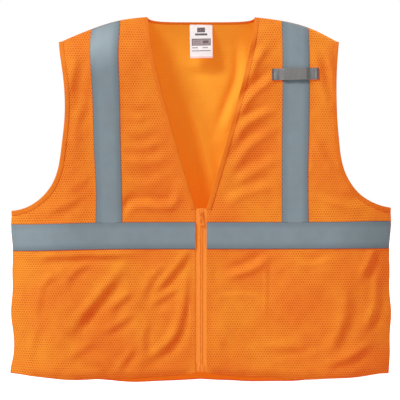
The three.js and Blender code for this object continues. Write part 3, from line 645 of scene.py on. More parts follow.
class Stitching:
    """Many stitches of one thread, gathered into one piece."""

    def __init__(self, radius=STITCH_RADIUS):
        self.radius = radius
        self.starts, self.ends, self.outward = [], [], []

    def row(self, path, outward):
        """Stitches along a path of points."""
        travelled = distance_along(path)
        first = np.arange(STITCH_START * STITCH_PITCH, travelled[-1] - STITCH_LENGTH, STITCH_PITCH)
        for places, found in ((first, self.starts), (first + STITCH_LENGTH, self.ends)):
            found.extend(np.stack([np.interp(places, travelled, axis) for axis in path.T], -1))
        self.outward.extend([outward] * len(first))

    def cloth_row(self, line, face, layer):
        """Stitches along a line of points in X and Z, on the cloth."""
        line = np.asarray(line, float)
        travelled = distance_along(line)
        places = np.arange(0, travelled[-1], LINE_STEP)
        x, z = (np.interp(places, travelled, axis) for axis in line.T)
        self.row(on_cloth(x, z, face, layer), (0, face, 0))

    def one(self, start, end, outward):
        self.starts.append(np.array(start, float))
        self.ends.append(np.array(end, float))
        self.outward.append(outward)

    def make(self, name):
        start, end = np.array(self.starts), np.array(self.ends)
        outward = np.array(self.outward, float)
        forward = unit(end - start)
        across = unit(np.cross(forward, outward))
        up = np.cross(across, forward)
        rings = []
        for share, width, rise in STITCH_RINGS:
            centre = lerp(start, end, share) + outward * rise
            rings.append(circles(centre, self.radius * width, across, up, STITCH_SIDES))
        points = np.stack(rings, 1)
        tube = tube_faces(len(rings), STITCH_SIDES)
        step = len(rings) * STITCH_SIDES
        faces = [[corner + i * step for corner in face] for i in range(len(points)) for face in tube]
        along_it = np.array([ring[0] for ring in STITCH_RINGS])[:, None] * STITCH_LENGTH
        around = np.arange(STITCH_SIDES)[None] / STITCH_SIDES * math.tau * self.radius
        uv = np.stack(np.broadcast_arrays(along_it, around), -1).reshape(-1, 2)
        return make_object(name, points.reshape(-1, 3), faces, np.tile(uv, (len(points), 1)))


# ---------- Materials ----------


def colour(red, green, blue):
    """A colour from its 0 to 255 values as seen on a screen."""
    return tuple(((value / 255 + 0.055) / 1.055) ** 2.4 for value in (red, green, blue)) + (1,)


class Shader:
    """A material made one node at a time."""

    def __init__(self, name, roughness=0.7, sheen=0.0, metallic=0.0, specular=0.5):
        self.material = bpy.data.materials.new(name)
        self.material.use_nodes = True
        self.tree = self.material.node_tree
        self.surface = self.tree.nodes["Principled BSDF"]
        self.set("Roughness", roughness)
        self.set("Sheen Weight", sheen)
        self.set("Metallic", metallic)
        self.set("Specular IOR Level", specular)

    def put(self, value, socket):
        if isinstance(value, bpy.types.NodeSocket):
            self.tree.links.new(value, socket)
        elif value is not None:
            socket.default_value = value

    def set(self, name, value):
        self.put(value, self.surface.inputs[name])

    def glow(self, light):
        # Painted light: a constant emission, the same whatever lamps fall on the surface.
        self.set("Emission Color", light)
        self.set("Emission Strength", 1.0)

    def node(self, kind, **settings):
        made = self.tree.nodes.new(kind)
        for name, value in settings.items():
            setattr(made, name, value)
        return made

    def math(self, operation, first, second=None, third=None):
        made = self.node("ShaderNodeMath", operation=operation)
        for value, socket in zip((first, second, third), made.inputs):
            self.put(value, socket)
        return made.outputs[0]

    def vector(self, operation, first, second=None):
        made = self.node("ShaderNodeVectorMath", operation=operation)
        self.put(first, made.inputs[0])
        self.put(second, made.inputs[1])
        return made.outputs["Value" if operation == "LENGTH" else "Vector"]

    def range(self, value, low, high, out_low=0.0, out_high=1.0, curve="SMOOTHSTEP"):
        made = self.node("ShaderNodeMapRange", interpolation_type=curve)
        for number, socket in zip((value, low, high, out_low, out_high), made.inputs):
            self.put(number, socket)
        return made.outputs[0]

    def uv(self):
        return self.node("ShaderNodeTexCoord").outputs["UV"]

    def place(self):
        return self.node("ShaderNodeTexCoord").outputs["Object"]

    def uv_parts(self):
        """The UV coordinates, in metres: both together, across, and up."""
        uv = self.uv()
        across, up, _ = self.split(uv)
        return uv, across, up

    def split(self, vector):
        made = self.node("ShaderNodeSeparateXYZ")
        self.put(vector, made.inputs[0])
        return made.outputs

    def noise(self, vector, scale, detail=2.0):
        made = self.node("ShaderNodeTexNoise")
        self.put(vector, made.inputs["Vector"])
        made.inputs["Scale"].default_value = scale
        made.inputs["Detail"].default_value = detail
        return made.outputs["Fac"]

    def mix(self, factor, first, second, blend="MIX"):
        made = self.node("ShaderNodeMix", data_type="RGBA", blend_type=blend)
        self.put(factor, made.inputs[0])
        self.put(first, made.inputs[6])
        self.put(second, made.inputs[7])
        return made.outputs[2]

    def bump(self, height, distance, strength=1.0):
        made = self.node("ShaderNodeBump")
        made.inputs["Strength"].default_value = strength
        made.inputs["Distance"].default_value = distance
        self.put(height, made.inputs["Height"])
        self.set("Normal", made.outputs[0])

    def wave(self, coordinate, pitch):
        """A sine wave from 0 to 1 along a coordinate, with its pitch in metres."""
        turned = self.math("MULTIPLY", coordinate, math.tau / pitch)
        return self.math("MULTIPLY_ADD", self.math("SINE", turned), 0.5, 0.5)

    def add(self, first, first_share, second, second_share):
        scaled = self.math("MULTIPLY", first, first_share)
        return self.math("MULTIPLY_ADD", second, second_share, scaled)


def lattice(shader, vector, pitch_x, pitch_z):
    """The distance in metres to the nearest of a staggered lattice of points."""
    scaled = shader.vector("MULTIPLY", vector, (1 / pitch_x, 1 / pitch_z, 0))
    found = []
    for shift in (0.0, 0.5):
        moved = shader.vector("ADD", scaled, (shift, shift, 0))
        centred = shader.vector("ADD", shader.vector("FRACTION", moved), (-0.5, -0.5, 0))
        flat = shader.vector("MULTIPLY", centred, (pitch_x, pitch_z, 0))
        found.append(shader.vector("LENGTH", flat))
    return shader.math("MINIMUM", *found)


EYELET_ACROSS = 0.0046
EYELET_UP = 0.0088
EYELET_RADIUS = 0.00105
KNOT_INNER, KNOT_OUTER = 0.0016, 0.0024
KNOT_COLOUR = colour(214, 176, 78)
YARN_ACROSS, YARN_UP = 0.00085, 0.00095
BINDING_PITCH = 0.0011
ZIP_CLOTH_PITCH = 0.0013
TAPE_SHADE_START, TAPE_SHADE_END = 0.010, 0.0245
TAPE_BORDER_START, TAPE_BORDER_END = 0.0236, 0.0250
TAPE_WEAVE = 0.0011
WEBBING_RIB, WEBBING_WEFT = 0.0021, 0.0012
WEBBING_END_START, WEBBING_END_FULL = 0.0395, 0.0415
THREAD_TWIST = 0.0007
SATIN_ACROSS, SATIN_UP = 0.00045, 0.00055
# The label's grey panel and foot stripe, in metres from its top left corner.
LABEL_PANEL_X, LABEL_PANEL_Z = 0.0215, 0.0336
LABEL_PANEL_HALF_X, LABEL_PANEL_HALF_Z = 0.018, 0.006
LABEL_FOOT_Z, LABEL_FOOT_FADE = 0.0600, 0.0012
PRINT_EDGE = 0.0002


def mesh_cloth(name, light, deep, hole, hole_share, glow):
    """Knitted mesh: staggered eyelets in ribbed yarn, painted dark with the shade seen through them,
    and a painted glow that stands in for the dye's fluorescence.
    """
    shader = Shader(name, roughness=0.8, sheen=0.02, specular=0.1)
    uv, across, up = shader.uv_parts()
    distance = lattice(shader, uv, EYELET_ACROSS, EYELET_UP)
    eyelet = shader.range(distance, EYELET_RADIUS * 0.65, EYELET_RADIUS * 1.3, 1.0, 0.0)
    patchy = shader.range(shader.noise(uv, scale=42, detail=3), 0.36, 0.64, 0.25, 1.0)
    shown = shader.math("MULTIPLY", eyelet, shader.math("MULTIPLY", patchy, hole_share))
    tone = shader.range(shader.noise(uv, scale=7, detail=4), 0.34, 0.66)
    body = shader.mix(tone, deep, light)
    knot = shader.range(distance, KNOT_INNER, KNOT_OUTER, 0.0, hole_share * 0.35)
    body = shader.mix(knot, body, KNOT_COLOUR)
    yarn = shader.noise(uv, scale=1100, detail=2)
    body = shader.mix(shader.range(yarn, 0.3, 0.7, 0.0, 0.14), body, hole)
    # The eyelets take the hole colour: painted shade of the hollow inside, seen through each hole.
    shader.set("Base Color", shader.mix(shown, body, hole))
    ribs = shader.add(shader.wave(across, YARN_ACROSS), 0.25, shader.wave(up, YARN_UP), 0.25)
    shader.bump(shader.add(ribs, 0.5, eyelet, -0.8), distance=0.0004, strength=0.55)
    shader.glow(glow)
    return shader.material


def ribbed_cloth(name, light, dark, pitch, glow):
    """Woven cloth with ribs across its length and a clouded tone."""
    shader = Shader(name, sheen=0.02, specular=0.15)
    uv, across, up = shader.uv_parts()
    ribs = shader.wave(up, pitch)
    warp = shader.wave(across, pitch * 0.8)
    fibre = shader.noise(uv, scale=1400, detail=3)
    tone = shader.add(shader.noise(uv, scale=18, detail=3), 0.6, ribs, 0.4)
    shader.set("Base Color", shader.mix(shader.range(tone, 0.2, 0.85), dark, light))
    weave = shader.add(ribs, 0.6, warp, 0.3)
    shader.bump(shader.add(weave, 1.0, fibre, 0.3), distance=0.0003, strength=0.6)
    shader.glow(glow)
    return shader.material


def reflective_tape():
    """Glass bead tape: blue grey, with painted shade darkening it towards its edges, and a darker rim
    along its very edge.
    """
    shader = Shader("reflective_tape", roughness=0.5, metallic=0.15, specular=0.45)
    uv, across, up = shader.uv_parts()
    from_middle = shader.math("ABSOLUTE", across)
    # Painted shade: the tape darkens from its middle towards its edges, as light falls on a crowned
    # tape.
    edge = shader.range(from_middle, TAPE_SHADE_START, TAPE_SHADE_END)
    border = shader.range(from_middle, TAPE_BORDER_START, TAPE_BORDER_END)
    stain = shader.range(shader.noise(uv, scale=34, detail=4), 0.35, 0.7)
    beads = shader.noise(uv, scale=2600, detail=2)
    grey = shader.mix(edge, colour(127, 141, 148), colour(108, 122, 130))
    grey = shader.mix(shader.math("MULTIPLY", stain, 0.35), grey, colour(116, 126, 130))
    grey = shader.mix(shader.range(beads, 0.35, 0.7, 0.0, 0.2), grey, colour(160, 172, 180))
    shader.set("Base Color", shader.mix(border, grey, colour(92, 98, 102)))
    shader.set("Roughness", shader.range(beads, 0.3, 0.7, 0.42, 0.6))
    weave = shader.add(shader.wave(across, TAPE_WEAVE), 0.5, shader.wave(up, TAPE_WEAVE), 0.5)
    shader.bump(shader.add(weave, 0.5, beads, 0.6), distance=0.00012, strength=0.35)
    return shader.material


def moulded_plastic(name, light, dark, roughness, grain, glow):
    shader = Shader(name, roughness=roughness, specular=0.5)
    place = shader.place()
    cloud = shader.noise(place, scale=120, detail=4)
    fine = shader.noise(place, grain, 3)
    shader.set("Base Color", shader.mix(shader.range(cloud, 0.3, 0.7), dark, light))
    shader.set("Roughness", shader.range(fine, 0.3, 0.7, roughness - 0.08, roughness + 0.12))
    shader.bump(fine, distance=0.00008, strength=0.4)
    shader.glow(glow)
    return shader.material


def webbing():
    """Grey woven webbing with ribs along its height and a few paler yarns."""
    shader = Shader("grey_webbing", roughness=0.85, sheen=0.1, specular=0.3)
    uv, across, up = shader.uv_parts()
    ribs = shader.wave(across, WEBBING_RIB)
    weave = shader.math("MULTIPLY", ribs, shader.wave(up, WEBBING_WEFT))
    streak = shader.noise(shader.vector("MULTIPLY", uv, (1, 0.08, 1)), scale=420, detail=2)
    tone = shader.add(weave, 0.45, streak, 0.7)
    shade = shader.mix(shader.range(tone, 0.25, 0.9), colour(112, 111, 110), colour(152, 151, 149))
    from_middle = shader.math("ABSOLUTE", shader.math("SUBTRACT", across, TAPE_X * MM))
    # Darker towards the tab's ends.
    darkened_end = shader.range(from_middle, WEBBING_END_START, WEBBING_END_FULL, 0.0, 0.75)
    shader.set("Base Color", shader.mix(darkened_end, shade, colour(62, 62, 66)))
    fibre = shader.noise(uv, scale=1500, detail=2)
    shader.bump(shader.add(weave, 0.8, fibre, 0.3), distance=0.0004, strength=0.7)
    return shader.material


NO_GLOW = (0, 0, 0, 1)


def thread(name, light, dark, glow=NO_GLOW):
    """Twisted sewing thread."""
    shader = Shader(name, roughness=0.6, sheen=0.1, specular=0.35)
    _, across, up = shader.uv_parts()
    twist = shader.wave(shader.add(across, 1.0, up, 1.5), THREAD_TWIST)
    fuzz = shader.noise(shader.place(), scale=900, detail=2)
    tone = shader.add(twist, 0.6, fuzz, 0.4)
    shader.set("Base Color", shader.mix(tone, dark, light))
    shader.bump(twist, distance=0.0001, strength=0.5)
    shader.glow(glow)
    return shader.material


def satin_weave(shader, uv, across, across_share, up, up_share):
    weave = shader.add(shader.wave(across, SATIN_ACROSS), across_share,
                       shader.wave(up, SATIN_UP), up_share)
    fibre = shader.noise(uv, scale=900, detail=2)
    shader.bump(shader.add(weave, 0.6, fibre, 0.4), distance=0.00012, strength=0.4)


def label_back():
    """The unprinted side of the white satin ribbon."""
    shader = Shader("label_back", roughness=0.6, sheen=0.05, specular=0.3)
    uv, across, up = shader.uv_parts()
    soft = shader.range(shader.noise(uv, scale=60, detail=3), 0.3, 0.7)
    shader.set("Base Color", shader.mix(soft, colour(228, 222, 222), colour(240, 236, 236)))
    satin_weave(shader, uv, across, 0.5, up, 0.3)
    return shader.material


def label_cloth():
    """White satin ribbon with a grey panel and a pale pink stripe at its foot."""
    shader = Shader("label_cloth", roughness=0.55, sheen=0.05, specular=0.4)
    uv, across, up = shader.uv_parts()
    foot = shader.range(up, -LABEL_FOOT_Z, -LABEL_FOOT_Z - LABEL_FOOT_FADE, 0.0, 1.0)
    stripe = shader.math("MULTIPLY", foot, 0.8)
    soft = shader.range(shader.noise(uv, scale=60, detail=3), 0.3, 0.7)
    white = shader.mix(soft, colour(240, 234, 234), colour(250, 246, 246))
    inside = []
    for place, middle, half in ((up, -LABEL_PANEL_Z, LABEL_PANEL_HALF_Z),
                                (across, LABEL_PANEL_X, LABEL_PANEL_HALF_X)):
        away = shader.math("ABSOLUTE", shader.math("SUBTRACT", place, middle))
        inside.append(shader.range(away, half - PRINT_EDGE, half + PRINT_EDGE, 1.0, 0.0))
    grey = shader.math("MULTIPLY", *inside)
    white = shader.mix(grey, white, colour(178, 160, 160))
    shader.set("Base Color", shader.mix(stripe, white, colour(240, 200, 194)))
    satin_weave(shader, uv, across, 0.3, up, 0.5)
    return shader.material


def label_ink():
    shader = Shader("label_ink", roughness=0.6, specular=0.3)
    uv = shader.uv()
    worn = shader.range(shader.noise(uv, scale=420, detail=3), 0.42, 0.72)
    shader.set("Base Color", shader.mix(worn, colour(98, 88, 92), colour(150, 136, 138)))
    shader.bump(shader.noise(uv, scale=1300, detail=2), distance=0.00004, strength=0.3)
    return shader.material


# Painted light: constant red emission that stands in for the dye's fluorescence and keeps the orange
# bright and red in its shade. The inner faces get the most, which lifts the shade inside the garment.
GLOW = (0.43, 0.004, 0.0, 1)
GLOW_INSIDE = (0.52, 0.085, 0.004, 1)
GLOW_TRIM = (0.40, 0.010, 0.0, 1)
GLOW_ZIP = (0.44, 0.020, 0.0, 1)
GLOW_PLASTIC = (0.30, 0.045, 0.0, 1)

# The third colour is the painted shade seen through the eyelets. The inner faces' lighter, yellower
# colours are painted light that lifts the shade inside the garment; their fainter eyelets show the
# knit's back.
MESH = mesh_cloth(
    "mesh_cloth", colour(174, 134, 34), colour(166, 114, 30), colour(92, 42, 12), 0.75, GLOW
)
INSIDE = mesh_cloth(
    "mesh_cloth_back", colour(174, 144, 44), colour(168, 136, 40), colour(140, 92, 28), 0.3, GLOW_INSIDE
)
BINDING = ribbed_cloth(
    "binding_cloth", colour(174, 126, 30), colour(158, 102, 20), BINDING_PITCH, GLOW_TRIM
)
ZIP_CLOTH = ribbed_cloth(
    "zip_cloth", colour(190, 150, 60), colour(176, 132, 46), ZIP_CLOTH_PITCH, GLOW_ZIP
)
TAPE = reflective_tape()
PLASTIC = moulded_plastic(
    "zip_plastic", colour(214, 156, 62), colour(198, 134, 48), 0.42, 500, GLOW_PLASTIC
)
ENAMEL = moulded_plastic(
    "slider_enamel", colour(206, 134, 48), colour(188, 112, 36), 0.32, 300, GLOW_PLASTIC
)
WEBBING = webbing()
GREY_THREAD = thread("grey_thread", colour(168, 170, 172), colour(92, 92, 96))
ORANGE_THREAD = thread("orange_thread", colour(188, 136, 50), colour(160, 100, 30), GLOW_TRIM)
LABEL = label_cloth()
LABEL_BACK_CLOTH = label_back()
INK = label_ink()

# ---------- Bodies ----------


def line_inside(piece, material, ring=0, inner=0):
    """Gives the inner face of a closed sheet, or of a piece made of rings, a material of its own."""
    piece.data.materials.append(material)
    half = len(piece.data.vertices) // 2
    for polygon in piece.data.polygons:
        corners = [corner % ring for corner in polygon.vertices] if ring else polygon.vertices
        if max(corners) < (inner if ring else half):
            polygon.material_index = 1


def dress(piece, material, slot, body, *nodes):
    """Gives a piece its material, parents it to its body, or bakes its place in for bend_right and
    bend_left, and hides the CAD nodes that it stands for. The slot is not used.
    """
    piece.data.materials.append(material)
    if body in ("bend_right", "bend_left"):
        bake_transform(piece)
    else:
        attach(piece, body)
    if nodes:
        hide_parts(*nodes)
    return piece


# ---------- Panels ----------

PANEL_LAP = BINDING_WIDTH - BINDING_LAP
LOW_ROWS = int((V_BOTTOM_Z - SIDE_HEM_Z - HEM_HEIGHT) / CELL)
HIGH_ROWS = 96
NECK_COLUMNS = 34
SHOULDER_COLUMNS = 64


def upright(x, low, high, rows=LOW_ROWS):
    z = np.linspace(low, high, rows + 1)
    return np.stack([np.full_like(z, x), z], -1)


def up_to_shoulder(edge):
    """An edge of a panel with its last point brought onto the shoulder line."""
    edge[-1, 1] = shoulder_line(edge[-1, 0])
    return edge


def outer_edge(face):
    """Up the side seam from the hem, then up the armhole to the shoulder tip."""
    low = hem_line(CHEST, face) + HEM_HEIGHT - HEM_TUCK
    armhole = up_to_shoulder(armhole_edge.beside(np.linspace(1, 0, HIGH_ROWS + 1), -PANEL_LAP))
    seam = upright(CHEST, low, armhole[0, 1])
    return np.concatenate([seam, armhole[1:]])


def shoulder_edge(start, end, columns):
    x = np.linspace(start[0], end[0], columns + 1)
    return np.stack([x, shoulder_line(x)], -1)


def hem_edge(low_x, high_x, face, columns):
    x = np.linspace(low_x, high_x, columns + 1)
    return np.stack([x, hem_line(x, face) + HEM_HEIGHT - HEM_TUCK], -1)


def front_grid():
    right = outer_edge(FRONT)
    neck = up_to_shoulder(v_edge.beside(np.linspace(1, 0, HIGH_ROWS + 1), PANEL_LAP))
    low = hem_line(ZIP_EDGE, FRONT) + HEM_HEIGHT - HEM_TUCK
    left = np.concatenate([upright(ZIP_EDGE, low, V_BOTTOM_Z), neck[1:]])
    columns = int((CHEST - ZIP_EDGE) / CELL)
    top = shoulder_edge(left[-1], right[-1], columns)
    return coons(hem_edge(ZIP_EDGE, CHEST, FRONT, columns), top, left, right)


def back_grid():
    right = outer_edge(BACK)
    neck = up_to_shoulder(back_neck_edge.beside(np.linspace(1, 0, NECK_COLUMNS + 1), PANEL_LAP))
    shoulder = shoulder_edge(neck[-1], right[-1], SHOULDER_COLUMNS)
    half = np.concatenate([neck, shoulder[1:]])
    top = np.concatenate([mirrored(half, -1)[::-1], half[1:]])
    columns = len(top) - 1
    bottom = hem_edge(-CHEST, CHEST, BACK, columns)
    return coons(bottom, top, mirrored(right, -1), right)


def make_panels():
    made = {}
    for name, side in SIDES:
        grid = mirrored(front_grid(), side)
        panel = sheet_on("vest_front_" + name, grid, FRONT, 0, PANEL_THICKNESS)
        nodes = (name + "_front_panel", name + "_flap_panel")
        dress(panel, MESH, "mesh_cloth", "bend_" + name, *nodes)
        line_inside(panel, INSIDE)
        made[name] = (panel, flat_area(grid))
    grid = back_grid()
    panel = sheet_on("vest_back", grid, BACK, 0, PANEL_THICKNESS)
    dress(panel, MESH, "mesh_cloth", "shell", "back_panel")
    line_inside(panel, INSIDE)
    made["back"] = (panel, flat_area(grid))
    return made


# ---------- Bindings, hems and seams ----------

BINDING_SIDES = 14
BINDING_SQUARENESS = 0.55
TURN_ANGLES = (-60, -30, 0, 30, 60)
HEM_TURNS = (-90, -60, -30, 0, 30, 60, 90)
HEM_ROWS = 6
ARMHOLE_RINGS, NECK_RINGS, BACK_NECK_RINGS = 90, 110, 50
ARMHOLE_SPACING = 0.9


def binding_section():
    """The rounded section of a folded binding, as pairs of inset and layer."""
    turns = np.arange(BINDING_SIDES) / BINDING_SIDES * math.tau
    cos, sin = np.cos(turns), np.sin(turns)
    inset = BINDING_WIDTH / 2 * (1 - np.sign(cos) * np.abs(cos) ** BINDING_SQUARENESS)
    layer = BINDING_THICKNESS / 2 * (1 + np.sign(sin) * np.abs(sin) ** BINDING_SQUARENESS)
    return np.stack([inset, layer], -1)


def binding_rings(curve, shares, side, face, direction):
    """Rings round a binding along a curve, whose cloth is on its left or its right."""
    rings = []
    for inset, layer in binding_section():
        points = curve.beside(shares, direction * inset) * np.array([side, 1])
        rings.append(on_cloth(points[:, 0], points[:, 1], face, layer))
    return np.stack(rings, 1)


def ring_uv(rings):
    """Across the binding and along it."""
    across, along_it = distance_along(rings[0])[None], distance_along(rings[:, 0])[:, None]
    return np.stack(np.broadcast_arrays(across, along_it), -1)


def turn_rings(share, side, outward):
    """Rings that carry the armhole binding round a seam, from the front to the back."""
    turns = np.radians(TURN_ANGLES)
    tangent = armhole_edge.tangent(share)[0] * outward
    rings = []
    for inset, layer in binding_section():
        x, z = armhole_edge.beside(share, -inset)[0]
        reach = SEAM_GAP + layer
        moved_x, moved_z = tugged(side * x, z)
        place = [[moved_x + side * tangent[0] * reach * math.cos(t), reach * math.sin(t),
                  moved_z + tangent[1] * reach * math.cos(t)] for t in turns]
        rings.append(place)
    return np.array(rings).transpose(1, 0, 2)


def make_armhole_binding(name, side):
    down = np.linspace(0, 1, ARMHOLE_RINGS) ** ARMHOLE_SPACING
    front = binding_rings(armhole_edge, down[::-1], side, FRONT, -1)
    back = binding_rings(armhole_edge, down, side, BACK, -1)
    over_tip = turn_rings(0, side, -1)
    under_arm = turn_rings(1, side, 1)[::-1]
    rings = np.concatenate([front, over_tip, back, under_arm])
    piece = swept("armhole_binding_" + name, rings, ring_uv(rings), closed=True)
    return dress(piece, BINDING, "binding_cloth", "shell", name + "_armhole_binding")


def make_neck_bindings():
    made = []
    for name, side in SIDES:
        rings = binding_rings(v_edge, np.linspace(1, 0, NECK_RINGS), side, FRONT, 1)
        piece = swept("neck_binding_" + name, rings, ring_uv(rings))
        nodes = (name + "_neck_binding", name + "_flap_neck_binding")
        made.append(dress(piece, BINDING, "binding_cloth", "bend_" + name, *nodes))
    shares = np.linspace(0, 1, BACK_NECK_RINGS)
    half = binding_rings(back_neck_edge, shares, 1, BACK, 1)
    other = binding_rings(back_neck_edge, shares[::-1], -1, BACK, 1)
    rings = np.concatenate([half, other[1:]])
    piece = swept("neck_binding_back", rings, ring_uv(rings))
    made.append(dress(piece, BINDING, "binding_cloth", "shell", "back_neck_binding"))
    return made


def hem_piece(name, low_x, high_x, face, body, *nodes):
    """A folded hem: a flat ring of cloth whose lower edge is round."""
    columns = int(abs(high_x - low_x) / CELL)
    x = np.linspace(low_x, high_x, columns + 1)
    section = []
    for turn in np.radians(HEM_TURNS):
        height = HEM_THICKNESS / 2 * (1 - math.cos(turn))
        section.append((height, HEM_THICKNESS / 2 * (1 + math.sin(turn))))
    rows = np.linspace(HEM_THICKNESS, HEM_HEIGHT, HEM_ROWS)
    section = [(h, 0) for h in rows[::-1]] + section + [(h, HEM_THICKNESS) for h in rows]
    rings = np.stack([on_cloth(x, hem_line(x, face) + h, face, layer) for h, layer in section], 1)
    heights = np.array([height for height, _ in section])[None]
    z = hem_line(x, face)[:, None] + heights
    uv = np.stack(np.broadcast_arrays(x[:, None], z), -1)
    piece = dress(swept(name, rings, uv), MESH, "mesh_cloth", body, *nodes)
    line_inside(piece, INSIDE, len(section), len(rows))
    return piece


def make_hems():
    made = {}
    for name, side in SIDES:
        nodes = (name + "_front_hem", name + "_flap_hem")
        made[name] = hem_piece("hem_front_" + name, side * ZIP_EDGE, side * CHEST, FRONT,
                               "bend_" + name, *nodes)
    made["back"] = hem_piece("hem_back", -CHEST, CHEST, BACK, "shell", "back_hem")
    return made


SEAM_THIN, SEAM_THICK = 0.16, 0.36
SEAM_START = 0.6
OVERLOCK_SHARE = 0.75
OVERLOCK_WAVE, OVERLOCK_TURNS = 0.04, 190


def seam_piece(name, centre, inward, rows, node):
    """A seam allowance inside the garment: two plies with a wavy overlocked edge."""
    rings = []
    for share in np.linspace(0, 1, rows):
        x, z = tugged(*centre(share))
        reach = SEAM_WIDTH * (1 + OVERLOCK_WAVE * math.sin(share * OVERLOCK_TURNS))
        half = ((SEAM_START, SEAM_THIN), (reach * OVERLOCK_SHARE, SEAM_THIN), (reach, SEAM_THICK))
        section = [(SEAM_START, -SEAM_THIN), *half, *((out, -y) for out, y in half[:0:-1])]
        rings.append([[x + inward[0] * out, y, z + inward[1] * out] for out, y in section])
    rings = np.array(rings)
    piece = swept(name, rings, ring_uv(rings))
    return dress(piece, BINDING, "binding_cloth", "shell", node)


SHOULDER_SEAM_RINGS, SIDE_SEAM_RINGS = 90, 150
SHOULDER_SEAM_LOW, SHOULDER_SEAM_HIGH = NECK_HALF + BINDING_WIDTH - 1, TIP_X - BINDING_WIDTH + 3
SIDE_SEAM_LOW, SIDE_SEAM_HIGH = SIDE_HEM_Z + HEM_HEIGHT, UNDERARM_Z - BINDING_WIDTH - 4
SHOULDER_SEAM_DROP = 0.4
SIDE_SEAM_INSET = 0.6


def make_seams():
    made = []
    for name, side in SIDES:

        def shoulder_point(share):
            x = lerp(SHOULDER_SEAM_LOW, SHOULDER_SEAM_HIGH, share)
            return side * x, shoulder_line(x) - SHOULDER_SEAM_DROP

        def side_point(share):
            return side * (CHEST - SIDE_SEAM_INSET), lerp(SIDE_SEAM_LOW, SIDE_SEAM_HIGH, share)

        made.append(seam_piece("shoulder_seam_" + name, shoulder_point, (0, -1), SHOULDER_SEAM_RINGS,
                               name + "_shoulder_seam"))
        made.append(seam_piece("side_seam_" + name, side_point, (-side, 0), SIDE_SEAM_RINGS,
                               name + "_side_seam"))
    return made


# ---------- Reflective tapes ----------


def tape_piece(name, grid, face, across, along_it, level, body, *nodes):
    """A ribbon whose middle stands a little proud of its sewn edges."""
    crown = TAPE_CROWN * (1 - (across / TAPE_HALF) ** 4)
    uv = np.stack([across, along_it], -1)
    inner = TAPE_INNER + level
    piece = sheet_on(name, grid, face, inner, inner + TAPE_THICKNESS, crown, uv)
    dress(piece, TAPE, "reflective_tape", body, *nodes)


BELT_LEVEL = 0.7
BELT_END = CHEST - 0.6
BELT_START = ZIP_EDGE + 0.2
TAPE_CELL = 3.0
TAPE_UNDER_BELT = 3
TAPE_TOP_DROP = 0.5


def tape_top(x):
    return shoulder_line(x) - TAPE_TOP_DROP


def make_tapes():
    for name, side in SIDES:
        grid = rectangle(TAPE_LOW_X, TAPE_HIGH_X, BELT_HIGH_Z - TAPE_UNDER_BELT, tape_top, TAPE_CELL)
        for face, face_name in ((FRONT, "front"), (BACK, "back")):
            tape_piece("tape_%s_%s" % (face_name, name), mirrored(grid, side), face,
                       grid[..., 0] - TAPE_X, grid[..., 1], 0, "shell",
                       "%s_%s_tape" % (name, face_name))
        grid = rectangle(BELT_START, BELT_END, BELT_LOW_Z, BELT_HIGH_Z, TAPE_CELL)
        tape_piece("belt_front_" + name, mirrored(grid, side), FRONT, grid[..., 1] - BELT_Z,
                   grid[..., 0], BELT_LEVEL, "bend_" + name, name + "_belt_tape",
                   name + "_flap_belt_tape")
    grid = rectangle(-BELT_END, BELT_END, BELT_LOW_Z, BELT_HIGH_Z, TAPE_CELL)
    tape_piece("belt_back", grid, BACK, grid[..., 1] - BELT_Z, grid[..., 0], BELT_LEVEL, "shell",
               "back_belt_tape")


# ---------- Inner pockets ----------

POCKET_LOW, POCKET_HIGH = node_box("left_inner_pocket")
POCKET_GAPE = 8
POCKET_GAPE_FLATNESS = 0.6
POCKET_GAPE_START = 0.4
POCKET_CELL = 5.0
POCKET_THICKNESS = 0.6
POCKET_GAP = 0.4


def make_pockets():
    for name, side in SIDES:
        grid = rectangle(POCKET_LOW[0], POCKET_HIGH[0], POCKET_LOW[2], POCKET_HIGH[2], POCKET_CELL)
        rows, columns = grid.shape[:2]
        u = np.linspace(0, 1, columns)[None]
        v = np.linspace(0, 1, rows)[:, None]
        bow = np.sin(math.pi * u) ** POCKET_GAPE_FLATNESS
        gape = -POCKET_GAPE * bow * ease_out(v / POCKET_GAPE_START) * ease_out(v)
        piece = sheet_on("pocket_" + name, mirrored(grid, side), FRONT,
                         -POCKET_GAP - POCKET_THICKNESS, -POCKET_GAP, gape)
        dress(piece, INSIDE, "mesh_cloth", "bend_" + name, name + "_inner_pocket")


# ---------- Microphone tab ----------

TAB_LOW, TAB_HIGH = node_box("mic_tab")
TAB_END = 15
BARTACK_REACH = 2.8
TAB_RAMP = 9
TAB_SEAT = 2.0
TAB_THICKNESS = 1.2
TAB_TILT = 0.02
TAB_DROP = 1.5
TAB_INSET = 1.5
FINE_CELL = 2.0
BARTACK_PITCH = 0.62
BARTACK_SLANT = 0.5
BARTACK_RADIUS = 0.3
BARTACK_ROWS = (-0.8, 0.0, 0.8)


def tab_point(x, z, layer):
    """A place on the tab: down on the cloth at its ends, and standing off between them."""
    centre = (TAB_LOW[0] + TAB_HIGH[0]) / 2
    half = (TAB_HIGH[0] - TAB_LOW[0]) / 2
    from_end = half - np.abs(x - centre)
    stands_off = smooth((from_end - TAB_END) / TAB_RAMP)
    on_seat = on_cloth(x, z, FRONT, TAB_SEAT + layer)[..., 1]
    free = TAB_LOW[1] + TAB_THICKNESS - layer
    y = lerp(on_seat, free, stands_off)
    return np.stack([x, y, z - TAB_DROP + TAB_TILT * (x - centre)], -1)


